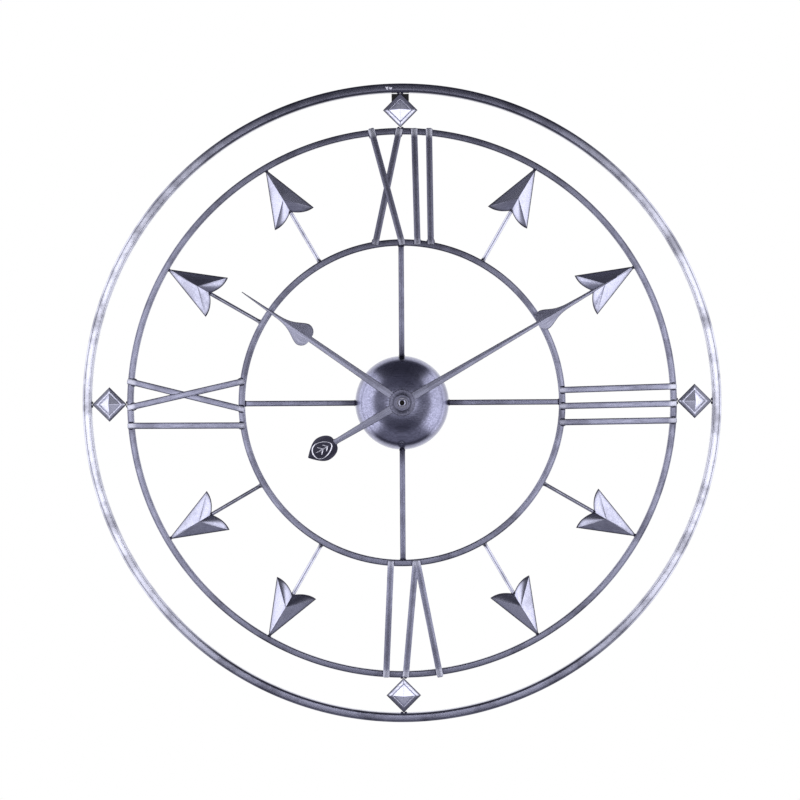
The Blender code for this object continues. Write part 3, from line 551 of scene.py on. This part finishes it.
# Rolled silicon steel: grey with a rolling grain
ROLLED_STEEL = grained("rolled_silicon_steel", "#B5B5B8", "#8F8F94", 0.3, 0.34, 1.0, 0.004,
                       stretch=(12, 1, 1))
# Sintered ferrite: near black and granular
FERRITE = grained("sintered_ferrite", "#3C3C40", "#242428", 0.15, 0.5, 0.4, 0.01)
# Printed film round a dry cell: glossy, with a fine wrinkle along it
CELL_FILM = grained("shrunk_cell_film", "#2E5E8C", "#274F78", 0.9, 0.24, 0.0, 0.006, coat=0.6,
                    stretch=(6, 1, 1))
CELL_BAND = grained("pale_cell_film_band", "#D9D3C2", "#C9C2AF", 0.9, 0.26, 0.0, 0.006, coat=0.6,
                    stretch=(6, 1, 1))


# ---------------------------------------------------------------- rings, spokes and numerals

def make_ring(name, node, ring, width, corner, crown, steps, material):
    """A bent bar: its barrelled section carried round a circle."""
    outer, front, back = ring
    depth = back - front - crown
    section = bar_section(width, depth, corner, crown)
    radius = outer - width / 2 + section[:, 0]
    grid = round_dial(radius, back - depth / 2 + section[:, 1], full_turn(steps)[:, None])
    piece = surface(name, grid, (True, True), rim=RING_RIM * section[:, 2])
    fitted(piece, material, stands_for=(node,))


def make_bars():
    """Numeral bars, laid on the rings, and the beads along their sides where they are welded down."""
    lines = []
    for name, hour, outer_offset, inner_offset in NUMERAL_BARS:
        drop = BAR_LAP if name.endswith("cross_back") or name == "vi_v_left" else 0.0
        rise = BAR_LAP if name == "vi_v_left" else 0.0
        start = np.array([inner_offset, BAR_IN])
        end = np.array([outer_offset, BAR_OUT])
        back = BAR_BACK + drop - 2 * rise
        grid, rim = flat_bar(start, end, BAR_WIDTH, BAR_FRONT + drop, back, BAR_CORNER, BAR_SOFT, BAR_CROWN)
        piece = surface(name + "_bar", turned_to(grid, 30 * hour), rim=BAR_RIM * rim)
        fitted(piece, NUMERAL_STEEL, stands_for=(name,))
        along = (end - start) / np.linalg.norm(end - start)
        across = np.array([-along[1], along[0]]) * (BAR_WIDTH / 2 + 0.25)
        for low, high in ((BAR_IN + 0.6, INNER[0] - 0.4), (MIDDLE_BORE + 0.4, BAR_OUT - 0.6)):
            for side in (-1, 1):
                ends = [start + along * (r - BAR_IN) + across * side for r in (low, high)]
                lines.append(turned_to([(p[0], MIDDLE[1] - 0.1, p[1]) for p in ends], 30 * hour))
    weld_beads("numeral_welds", lines, 0.6, WELD_STEEL)


def make_spokes():
    """Four flat bars, with beads across both ends and painted shade on the end where each meets the dome."""
    front, back = box_mm("spoke_12")[0][1], box_mm("spoke_12")[1][1]
    inner, outer = HUB_RADIUS + 0.2, INNER_BORE + 0.1
    half = SPOKE_WIDTH / 2
    lines = []
    for hour in CORNERS:
        grid, rim = flat_bar((0, inner), (0, outer), SPOKE_WIDTH, front, back, 0.6, 0.6, 0.1)
        # painted shade on the sides and on the end that meets the dome
        away = np.linalg.norm(grid[:, :1], axis=-1) - HUB_RADIUS
        rim = np.maximum(0.75 * rim, np.clip(1.3 - away / SPOKE_SHADE, 0, 0.85))
        piece = surface(f"spoke_bar_{hour:02d}", turned_to(grid, 30 * hour), rim=rim)
        fitted(piece, SPOKE_STEEL, stands_for=(f"spoke_{hour:02d}",))
        for radius in (inner + 0.3, outer - 0.5):
            for level in (front + 0.1, back - 0.1):
                flat = [(-half - 0.5, level, radius), (half + 0.5, level, radius)]
                lines.append(turned_to(flat, 30 * hour))
            for side in (-1, 1):
                upright = [(side * half, front + 0.2, radius), (side * (half + 0.01), back - 0.2, radius)]
                lines.append(turned_to(upright, 30 * hour))
    return lines


def make_frame_welds(lines):
    """Beads at the studs' corners and at the arrow tips, with the ones at the spokes' ends."""
    for hour in CORNERS:
        for radius, level in ((OUTER[0] - OUTER_WIDTH - 0.4, -5.6), (MIDDLE[0] + 0.3, -5.4)):
            for side in (-1, 1):
                lines.append(turned_to([(side * 0.5, level, radius), (side * 3.1, level, radius)], 30 * hour))
    for hour in ARROW_HOURS:
        lines.append(turned_to([(-1.7, -5.4, ARROW_TIP - 0.2), (1.7, -5.4, ARROW_TIP - 0.2)], 30 * hour))
        lines.append(turned_to([(-2.0, -6.2, ARROW_NOTCH - 0.4), (2.0, -6.2, ARROW_NOTCH - 0.4)], 30 * hour))
    weld_beads("frame_welds", lines, 0.85, WELD_STEEL)
    level = OUTER[1] + 0.55         # three spots of weld ground bright on the outer ring, left of the bracket; their near-white tone is partly a painted glint
    spots = [[(-13.6, level, 297.0), (-11.2, level, 293.4)], [(-9.6, level, 296.9), (-10.4, level, 294.2)],
             [(-9.8, level, 293.8), (-7.6, level, 296.4)]]
    weld_beads("ground_spots", spots, 1.05, RELIEF_STEEL)


# ---------------------------------------------------------------- arrow markers and studs

def make_arrows():
    """Swallow-tailed heads pressed to a peak, each on a round rod that is welded to the inner ring.

    With s the share of the way from the peak to the rim, a facet stands 1 - s^1.22 of the full height.
    """
    corners = ((ARROW_BLUNT, ARROW_TIP), (ARROW_HALF, ARROW_BARB), (0, ARROW_NOTCH),
               (-ARROW_HALF, ARROW_BARB), (-ARROW_BLUNT, ARROW_TIP))
    bows = ((0, 0), (0, -ARROW_REAR_BOW), (0, -ARROW_REAR_BOW), (0, 0), (0, 0))
    outline = outline_through(corners, bows, 14)
    share = np.linspace(0, 1, 10)
    profile = [(0.945 * s, -0.45 - (ARROW_RISE - 0.45) * (1 - s ** 1.22)) for s in share]
    profile += [(0.955, -0.02), (0.985, 0.0), (0.996, 0.08), (1.0, 0.25)]
    head = pressed(outline, (0, ARROW_APEX), profile, ARROW_RIM, 1.0)
    rim = plate_rim(profile)
    start, end = INNER[0] + 0.1, ARROW_NOTCH + 3.2
    station = np.concatenate([start + 5 * np.linspace(0, 1, 14) ** 2, np.linspace(start + 5, end, 12)[1:]])
    radius = ROD_RADIUS + 0.9 * np.exp(-(station - start) / 0.8)
    path = np.stack([0 * station, 0 * station + ROD_AXIS, station], -1)
    rod = capped(tube(path, radius, 24))
    # painted shade on the rod's two sides and over its first 5 mm from the inner ring
    side = np.abs(np.cos(full_turn(24))) ** 4
    shade = np.maximum(0.9 * side, np.clip(1 - (station - start) / 5, 0, 0.8)[:, None])
    shade = np.pad(shade, ((1, 1), (0, 0)), "edge")
    for hour in ARROW_HOURS:
        piece = surface(f"arrow_head_{hour:02d}", turned_to(head, 30 * hour), sharp=12.0, rim=rim)
        fitted(bevelled(piece, 0.22, angle=14.0), MARKER_STEEL,
               stands_for=(f"arrow_{hour:02d}",))
        piece = surface(f"arrow_rod_{hour:02d}", turned_to(rod, 30 * hour), rim=shade)
        fitted(piece, ROD_STEEL)


def make_studs():
    """Four studs pressed from square sheet: a pyramid inside a wide border that rolls over to the edge.

    With u the share of the way across the border, it falls by 0.45 u^2.
    """
    corners = [(x * STUD_HALF, STUD_CENTRE + z * STUD_HALF) for x, z in ((0, 1), (1, 0), (0, -1), (-1, 0))]
    outline = outline_through(corners, ((0, 0),) * 4, 12)
    base = 1 - STUD_BORDER * math.sqrt(2) / STUD_HALF
    profile = [(s * (base - 0.03), STUD_FOOT * s - STUD_RISE) for s in np.linspace(0, 1, 8)]
    profile += [(base - 0.02, -0.42), (base, -0.46)]
    profile += [(base + (0.975 - base) * u, -0.45 * (1 - u * u)) for u in np.linspace(0.12, 1, 8)]
    profile += [(0.99, 0.12), (1.0, 0.3)]
    for hour in CORNERS:
        grid = turned_to(pressed(outline, (0, STUD_CENTRE), profile, STUD_FRONT, 1.0), 30 * hour)
        piece = surface(f"stud_{hour:02d}", grid, sharp=12.0, rim=plate_rim(profile))
        fitted(bevelled(piece, 0.2, angle=14.0), STUD_STEEL,
               stands_for=(f"diamond_{hour:02d}",))


# ---------------------------------------------------------------- hub

def make_dome():
    """Spun dome, (r/R)^p + (d/D)^p = 1, with a pin dimple low down and painted shade in a notch under the top
    spoke.

    A dent is a Gaussian in the distance from its middle, pressed inwards and a little back.
    """
    power, sheet, hole = 2.6, 1.2, 4.2
    rows = 56                       # points of the profile on each side of the sheet
    rise = HUB_BACK - HUB_FRONT
    sides = []
    for radius, depth in ((HUB_RADIUS, rise), (HUB_RADIUS - sheet, rise - sheet)):
        last = math.acos((hole / radius) ** (power / 2))
        angle = np.linspace(0.002, last, rows)
        level = HUB_BACK - depth * np.sin(angle) ** (2 / power)
        sides.append(np.stack([radius * np.cos(angle) ** (2 / power), level], -1))
    profile = np.concatenate([sides[0], sides[1][::-1]])
    grid = turned(profile, 288)
    outer = grid[:rows]
    notch_shade = np.zeros(grid.shape[:2])
    # each dent: its middle, spread, depth and the strength of the shade painted in it
    for x, z, spread, depth, dark in ((-0.6, -38.4, 1.5, 0.9, 0.0), (0.0, 43.0, 1.8, 0.3, 0.95)):
        gap = (outer[..., 0] - x) ** 2 + (outer[..., 2] - z) ** 2
        bell_over = np.exp(-gap / (2 * spread ** 2))
        dent = depth * bell_over
        notch_shade[:rows] = np.maximum(notch_shade[:rows], dark * bell_over)
        length = np.hypot(outer[..., 0], outer[..., 2])
        outer[..., 0] -= dent * outer[..., 0] / length
        outer[..., 2] -= dent * outer[..., 2] / length
        outer[..., 1] += dent * 0.6
    piece = surface("dome", grid, (True, True), sharp=40.0, rim=notch_shade)
    fitted(piece, HUB_STEEL, stands_for=("hub_dome",))


# ---------------------------------------------------------------- hands

def blade(runs, back):
    """Grid of a creased sheet blade, with its rim values.

    runs chain from a first (z, half width, crease) to each next one, with the half width following a
    shape of t. The front stands crease - fall * |across| above the flat, so that the fold's two faces
    keep one slope wherever the blade widens.
    """
    rows = [np.array([runs[0]], float)]
    for target, steps, shape in runs[1:]:
        t = np.arange(1, steps + 1)[:, None] / steps
        weight = np.concatenate([t, shape(t), t], 1)
        rows.append(rows[-1][-1] * (1 - weight) + np.array(target) * weight)
    z, half, crease = np.concatenate(rows).T[:, :, None]
    share = np.array([-1, -0.97, -0.86, -0.7, -0.4, -0.1, 0, 0.1, 0.4, 0.7, 0.86, 0.97, 1])
    across = half * share
    fold = crease - FOLD_FALL * np.abs(across)
    front = back - HAND_SHEET * np.where(np.abs(share) == 1, 0.8, 1.0) - fold
    rear = back - 0.3 * fold[:, ::-1]
    x = np.concatenate([across, across[:, ::-1]], 1)
    grid = np.stack(np.broadcast_arrays(x, np.concatenate([front, rear], 1), z), -1)
    # a thin line painted along the outline: shade on the hand blades, a lighter tone on the tail leaf
    gap = half * (1 - np.abs(share))
    painted_edge = np.clip(1.25 - gap / 0.45, 0, 1)
    rim = np.concatenate([painted_edge, 0 * painted_edge], 1)
    return capped(grid), np.pad(rim, ((1, 1), (0, 0)), "edge")


def swell(t):
    """Quick rounded rise: a quarter of a sine wave."""
    return np.sin(t * np.pi / 2)


def shoulder(t):
    """Round shoulder, a quarter circle that leaves the shaft squarely: sqrt(1 - (1 - t)^2)."""
    return np.sqrt(1 - (1 - t) ** 2)


def round_off(t):
    """The same quarter circle run backwards: 1 - sqrt(1 - t^2)."""
    return 1 - np.sqrt(1 - t ** 2)


def bell(t):
    """Bell-shaped fall that rounds over, drops and runs out into the needle: 1 - exp(-(2.7 t)^1.7)."""
    return 1 - np.exp(-(2.7 * t) ** 1.7)


def straight(t):
    """Even taper."""
    return t


def make_hands():
    """Spade hands: folded blades on stepped bosses, and a dark leaf on the minute hand's tail."""
    hour_back = box_mm("hour_hand")[1][1] - 0.2
    minute_back = box_mm("minute_hand")[1][1] - 0.2
    hour = blade([(4.0, 3.7, 1.2), ((103.4, 2.75, 1.2), 12, straight), ((111.4, 11.0, 1.2), 24, shoulder),
                  ((146.8, 1.5, 1.0), 36, bell), ((180.3, 0.4, 0.3), 10, straight)], hour_back)
    minute = blade([(-72.5, 2.4, 0.8), ((-4.0, 3.9, 1.1), 8, straight), ((145.0, 1.85, 1.1), 14, straight),
                    ((152.3, 9.35, 1.1), 24, shoulder), ((185.0, 2.0, 0.9), 36, bell),
                    ((230.0, 0.35, 0.2), 10, straight)], minute_back)
    for name, (grid, rim), turn, body in (("hour_hand", hour, HOUR_TURN, "hour_work"),
                                          ("minute_hand", minute, MINUTE_TURN, "minute_work")):
        piece = surface(name + "_blade", turned_to(grid, turn), sharp=8.0, rim=0.9 * rim)
        fitted(piece, HAND_STEEL, body, (name,))
    make_leaf(minute_back)

    # name, body, back, radius, thickness, radius of the collet and of the bore
    rows = (
        ("hour_hand_boss", "hour_work", hour_back, 12.0, 1.2, 4.6, 2.9),
        ("minute_hand_boss", "minute_work", minute_back, 12.3, 1.8, 7.4, 1.9),
    )
    for name, body, back, rim, thick, collet, bore in rows:
        face = back - thick
        profile = [(bore, back + 0.2), (rim - 0.3, back + 0.2), (rim, back), (rim, face + 0.3),
                   (rim - 0.35, face), (rim - 0.7, face), (collet + 0.6, face), (collet + 0.3, face + 0.12),
                   (collet, face), (collet - 0.2, back - 2.0), (bore + 0.3, back - 2.0), (bore, back - 1.7)]
        shade = np.array([0, 0, 1, 1, 0.2, 0, 0, 0.7, 0.4, 0, 0, 0])[:, None]
        piece = surface(name, turned(profile, 96), (True, True), sharp=22.0, rim=shade)
        fitted(bevelled(piece, 0.06, angle=22.0), DARK_STEEL, body)


def make_leaf(back):
    """Leaf on the minute hand's tail: a flat plate with a plain raised vein and border.

    Its half width swells to LEAF_HALF as a quarter sine from the point and closes by a quarter circle
    at the shaft. The relief is a thin round wire along a smaller copy of the outline, and one down it.
    """
    leaf, rim = blade([(-100.5, 0.4, 0.0), ((-84.0, LEAF_HALF, 0.0), 24, swell),
                       ((-71.5, 2.8, 0.0), 24, round_off), ((-70.0, 2.7, 0.0), 2, straight)], back)
    piece = surface("minute_hand_leaf", turned_to(leaf, MINUTE_TURN), sharp=20.0, rim=rim)
    fitted(piece, LEAF_STEEL, "minute_work")
    t = full_turn(64)
    width = 0.62 * LEAF_HALF * np.sin(t) * (1 - 0.28 * np.cos(t))
    border = np.stack([width, 0 * t + back - 0.62, -85.3 + 9.6 * np.cos(t)], -1)
    rail = tube(border, 0.5, 10, closed=True)
    piece = surface("tail_border", turned_to(rail, MINUTE_TURN), (True, True))
    fitted(piece, RELIEF_STEEL, "minute_work")
    veins = []
    for start, end in (((0, -92.0), (0, -78.5)), ((0, -84.5), (4.1, -88.6)), ((0, -84.5), (-4.1, -88.6)),
                       ((0, -79.8), (3.6, -83.2)), ((0, -79.8), (-3.6, -83.2))):
        vein = [(x, back - 0.66, z) for x, z in (start, end)]
        veins.append(turned_to(vein, MINUTE_TURN))
    weld_beads("tail_veins", veins, 0.6, RELIEF_STEEL, "minute_work", 0.0)


def make_nut():
    """Knurled nut: a ribbed rim, r = R + h |cos(n a / 2)|, a turned face and a deep bore, in nickel painted
    dark as shade.
    """
    low, high = box_mm("hand_nut")
    rim = high[0] - 0.25
    front, back = low[1], high[1]
    angle = full_turn(12 * NUT_RIBS)
    rib = np.abs(np.cos(NUT_RIBS / 2 * angle)) * 0.32
    # radius, level, share of the rib outwards, share of the rib pressed into the face
    rows = ((1.9, back, 0, 0), (rim - 0.3, back, 0.3, 0), (rim, back - 0.3, 1, 0), (rim, front + 0.5, 1, 0),
            (rim - 0.35, front + 0.12, 0.5, 0.3), (rim - 0.6, front + 0.02, 0, 0.8),
            (4.1, front + 0.02, 0, 0.8), (3.8, front + 0.2, 0, 0.3),
            (3.4, front + 0.35, 0, 0), (2.5, front + 0.35, 0, 0),
            (2.35, front + 0.45, 0, 0), (1.9, front + 0.9, 0, 0))
    radius, level, share, pressed_in = np.array(rows).T[:, :, None]
    radius = radius + share * (rib - 0.2)
    level = level + pressed_in * rib
    piece = surface("knurled_nut", round_dial(radius, level, angle), (True, True), sharp=24.0)
    fitted(piece, SHADED_NUT_NICKEL, "minute_work", ("hand_nut",))
    # a lip round the bore in the lighter hand finish: a painted highlight where the bore's edge glints
    lip = turned([(2.35, front + 0.5), (2.4, front + 0.12), (2.6, front), (3.0, front), (3.2, front + 0.15),
                  (3.3, front + 0.5)], 64)
    fitted(surface("nut_bore_lip", lip, (True, True)), HAND_STEEL, "minute_work")


def make_arbor_end():
    """Near-black cap at the end of the minute arbor that closes the nut's bore from behind: painted shade in
    the bore.
    """
    front = box_mm("minute_shaft")[0][1]
    cap = turned([(0.0, front - 0.1), (1.2, front - 0.2), (ARBOR_REACH - 0.3, front - 0.35),
                  (ARBOR_REACH, front - 0.3), (ARBOR_REACH, front - 0.05), (0.0, front - 0.05)], 48)
    fitted(surface("arbor_end", cap, sharp=24.0), BORE_SHADE_BLACK, "minute_work")


make_ring("outer_ring_bar", "outer_ring", OUTER, OUTER_WIDTH, 1.9, 0.22, 384, RING_STEEL)
make_ring("middle_ring_bar", "middle_ring", MIDDLE, MIDDLE_WIDTH, 0.9, 0.1, 352, INNER_STEEL)
make_ring("inner_ring_bar", "inner_ring", INNER, INNER_WIDTH, 0.9, 0.1, 288, INNER_STEEL)
make_bars()
make_frame_welds(make_spokes())
make_arrows()
make_studs()
make_dome()
make_hands()
make_nut()
make_arbor_end()


# ---------------------------------------------------------------- hub back and movement

EASED = (
    ("hanger_bracket", 0.25, BLACK_PAINT, "black_steel"),
    ("hub_mount_plate", 0.25, BLACK_PAINT, "black_steel"),
    ("movement_case_front", 0.35, BLACK_ABS, "case_plastic"),
    ("movement_case_back", 0.35, BLACK_ABS, "case_plastic"),
    ("movement_gasket", 0.15, NITRILE, "gasket_rubber"),
    ("movement_washer", 0.12, NICKEL, "plated_metal"),
    ("fixing_nut", 0.25, BRASS, "brass"),
    ("contact_positive", 0.08, NICKEL, "plated_metal"),
    ("contact_negative", 0.08, NICKEL, "plated_metal"),
)
for node, width, material, slot in EASED:
    fitted(eased_copy(node, width, node + "_eased"), material, stands_for=(node,))
fitted(eased_copy("setting_knob", 0.08, "setting_knob_eased"), ACETAL, "motion_work",
       ("setting_knob",))


def make_battery():
    """Dry cell: a steel can turned about X, in a shrunk film sleeve with one pale band and folded ends."""
    low, high = box_mm("battery")
    centre = (low + high) / 2
    radius = (high[2] - low[2]) / 2
    skin = radius - 0.3             # inner side of the film
    # From the button's end to the flat end
    button, flat = low[0], high[0]
    seam = flat - 13.0
    rows = (
        ("battery_can", NICKEL, [
            (button, 0.0), (button, 2.4), (button + 0.9, 2.8), (button + 1.0, 4.6),
            (button + 1.2, radius - 0.9), (button + 1.9, radius - 0.35), (flat - 1.0, radius - 0.35),
            (flat - 0.3, radius - 1.0), (flat - 0.3, 3.5), (flat, 3.2), (flat, 0.0)]),
        ("battery_film", CELL_FILM, [
            (button + 1.5, radius - 1.7), (button + 1.2, radius - 1.4), (button + 1.3, radius - 0.6),
            (button + 2.0, radius), (seam, radius), (seam, skin), (button + 2.2, skin)]),
        ("battery_band", CELL_BAND, [
            (seam, radius), (flat - 0.9, radius), (flat - 0.25, radius - 0.6), (flat - 0.1, radius - 1.5),
            (flat - 0.4, radius - 1.7), (flat - 1.2, skin), (seam, skin)]),
    )
    angle = full_turn(72)
    for name, material, profile in rows:
        along, reach = np.array(profile).T[:, :, None]
        along = button + flat - along           # turned end for end: the button faces the contact at +X
        round_x = (along, centre[1] + reach * np.sin(angle), centre[2] + reach * np.cos(angle))
        grid = np.stack(np.broadcast_arrays(*round_x), -1)
        piece = surface(name, grid, (name != "battery_can", True), sharp=30.0)
        fitted(piece, material, stands_for=("battery",) if name == "battery_film" else ())


def make_case_marks():
    """Moulded marks on the case back: a raised border, ribs beside the cell, and its plus and minus.

    The border is a rounded square, |x|^8 + |z|^8 = a^8, carried as a thin round bead.
    """
    face = box_mm("movement_case_back")[1][1]
    angle = full_turn(120)
    across, up = np.cos(angle), np.sin(angle)
    reach = BORDER_HALF / (np.abs(across) ** 8 + np.abs(up) ** 8) ** (1 / 8)
    border = np.stack([reach * across, 0 * angle + face - 0.1, reach * up], -1)
    piece = surface("case_border", tube(border, 0.4, 8, closed=True), (True, True))
    fitted(piece, BLACK_ABS)
    marks = [((-18.5, -8.0), (-15.5, -8.0)), ((15.5, -8.0), (18.5, -8.0)), ((17.0, -9.5), (17.0, -6.5))]
    marks += [((x, 14.0), (x, 21.0)) for x in (-16.0, -13.0, -10.0)]
    marks += [((x, -0.5), (x, 4.5)) for x in (-16.0, -13.0, -10.0)]
    lines = [[(x, face, z) for x, z in mark] for mark in marks]
    weld_beads("case_marks", lines, 0.45, BLACK_ABS, "frame", 0.0)


def make_screws():
    """Four cross-head screws in the case corners: a domed head, 1 - (r / R)^2, with two pressed slots."""
    face = box_mm("movement_case_back")[1][1]
    radius = np.array([0.0, 0.5, 1.0, 1.4, 1.75, 1.9, 1.9])[:, None]
    angle = full_turn(32)
    level = np.where(np.arange(7)[:, None] == 6, face - 0.1, face + 0.55 * (1 - (radius / 2.1) ** 2))
    slot = (radius < 1.3) * (np.abs(np.cos(2 * angle)) > 0.9)
    level = level - 0.35 * slot
    across, up = radius * np.sin(angle), radius * np.cos(angle)
    heads = [np.stack(np.broadcast_arrays(x + across, level, z + up), -1)
             for x, z in ((-20.5, 20.5), (20.5, 20.5), (-20.5, 8.0), (20.5, 8.0))]
    fitted(surface("case_screws", np.array(heads), sharp=40.0), NICKEL)


make_battery()
make_case_marks()
make_screws()

KEPT = {
    "circuit_board": SOLDER_MASK, "coil": COPPER_WINDING, "stator": ROLLED_STEEL, "rotor": FERRITE,
    "quartz_crystal": NICKEL, "minute_shaft": BRASS, "intermediate_wheel": ACETAL, "second_wheel": ACETAL,
    "third_wheel": ACETAL, "centre_wheel": ACETAL, "motion_wheel": ACETAL, "hour_wheel": ACETAL,
}
for node, material in KEPT.items():
    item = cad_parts[node]
    item.data.materials.clear()
    item.data.materials.append(material)


# ---------------------------------------------------------------- studio

def make_floor():
    """Pale painted floor, well below the clock."""
    mesh = bpy.data.meshes.new("floor")
    reach, height = 4.0, -1.6
    corners = [(x * reach, y * reach, height) for x, y in ((-1, -1), (1, -1), (1, 1), (-1, 1))]
    mesh.from_pydata(corners, [], [(0, 1, 2, 3)])
    floor = bpy.data.objects.new("floor", mesh)
    bpy.context.scene.collection.objects.link(floor)
    mesh.materials.append(grained("pale_floor_paint", "#F4F4F6", "#EAEAEE", 30.0, 0.6))
    floor.visible_glossy = False    # the steel mirrors the surroundings and not the floor


def make_light():
    """Soft surroundings that the steel mirrors, as grey tones laid over each other in turn.

    Seen from the dial they lie round the front axis: a dark middle, then a ring with a dark upper third,
    a middling lower third and bright sides, then a dark ring, and bright sides again out to the edge.
    A dark band lies just behind the clock, and the rest of the room behind it is pale.
    """
    world = bpy.data.worlds.new("soft_studio")
    world.use_nodes = True
    bpy.context.scene.world = world
    tree = world.node_tree
    tree.nodes.clear()
    toward = add(tree, "ShaderNodeTexCoord").outputs["Generated"]
    x, y, z = add(tree, "ShaderNodeSeparateXYZ", {}, {0: toward}).outputs
    side = add(tree, "ShaderNodeMath", {}, {0: x}, operation="ABSOLUTE").outputs[0]
    flat = add(tree, "ShaderNodeCombineXYZ", {}, {"X": x, "Z": z})
    off = add(tree, "ShaderNodeVectorMath", {}, {0: flat.outputs[0]}, operation="LENGTH").outputs["Value"]
    aside = add(tree, "ShaderNodeMath", {}, {0: side, 1: off}, operation="DIVIDE").outputs[0]
    above = add(tree, "ShaderNodeMath", {}, {0: z, 1: off}, operation="DIVIDE").outputs[0]
    # what each mask follows, and the values between which it rises from 0 to 1
    steps = ((above, -0.3, 0.3), (aside, 0.60, 0.78), (off, 0.20, 0.28), (off, 0.60, 0.76), (off, 0.03, 0.09),
             (y, -0.05, 0.12), (y, 0.3, 0.6))
    upper, beside, inner, outer, clear, band, room = (
        add(tree, "ShaderNodeMapRange", {"From Min": low, "From Max": high}, {"Value": value},
            interpolation_type="SMOOTHSTEP").outputs[0] for value, low, high in steps)
    rim = add(tree, "ShaderNodeMath", {0: 1.0}, {1: inner}, operation="SUBTRACT").outputs[0]
    bright = add(tree, "ShaderNodeMath", {}, {0: rim, 1: outer}, operation="MAXIMUM").outputs[0]
    lit = add(tree, "ShaderNodeMath", {}, {0: beside, 1: bright}, operation="MULTIPLY").outputs[0]
    half = add(tree, "ShaderNodeMath", {1: 0.14}, {0: beside}, operation="MULTIPLY").outputs[0]
    sides = add(tree, "ShaderNodeMath", {}, {0: lit, 1: half}, operation="MAXIMUM").outputs[0]
    dim = add(tree, "ShaderNodeMath", {0: 1.0}, {1: bright}, operation="SUBTRACT").outputs[0]
    # mask, tone where it is 0, tone where it is 1; None keeps what the rows above gave
    light = None
    for factor, first, second in ((upper, (0.38, 0.38, 0.44), (0.08, 0.08, 0.1)),
                                  (dim, None, (0.14, 0.14, 0.175)), (band, None, (0.10, 0.10, 0.13)),
                                  (sides, None, (2.2, 2.2, 2.3)), (clear, (0.2, 0.2, 0.245), None),
                                  (room, None, (1.25, 1.25, 1.28))):
        mix = add(tree, "ShaderNodeMix", {}, {0: factor}, data_type="RGBA")
        for socket, tone in ((6, first), (7, second)):
            if tone is None:
                tree.links.new(light, mix.inputs[socket])
            else:
                mix.inputs[socket].default_value = (*tone, 1.0)
        light = mix.outputs[2]
    shine = add(tree, "ShaderNodeBackground", {"Strength": 1.0}, {"Color": light})
    plain = add(tree, "ShaderNodeBackground", {"Color": (1, 1, 1, 1), "Strength": 1.0})
    seen = add(tree, "ShaderNodeLightPath").outputs["Is Camera Ray"]
    both = add(tree, "ShaderNodeMixShader", {}, {0: seen, 1: shine.outputs[0], 2: plain.outputs[0]})
    add(tree, "ShaderNodeOutputWorld", {}, {"Surface": both.outputs[0]})


def make_camera():
    """Camera straight in front of the dial, a little rolled."""
    data = bpy.data.cameras.new("camera")
    data.lens = 95.5
    data.sensor_width = 36.0
    camera = bpy.data.objects.new("camera", data)
    level = Matrix.Rotation(math.radians(90), 4, "X")
    roll = Matrix.Rotation(math.radians(0.35), 4, "Y")
    camera.matrix_world = Matrix.Translation((-0.0019, -2.0, 0.0026)) @ roll @ level
    bpy.context.scene.collection.objects.link(camera)
    bpy.context.scene.camera = camera
    bpy.context.scene.view_settings.view_transform = "Standard"


make_floor()
make_light()
make_camera()
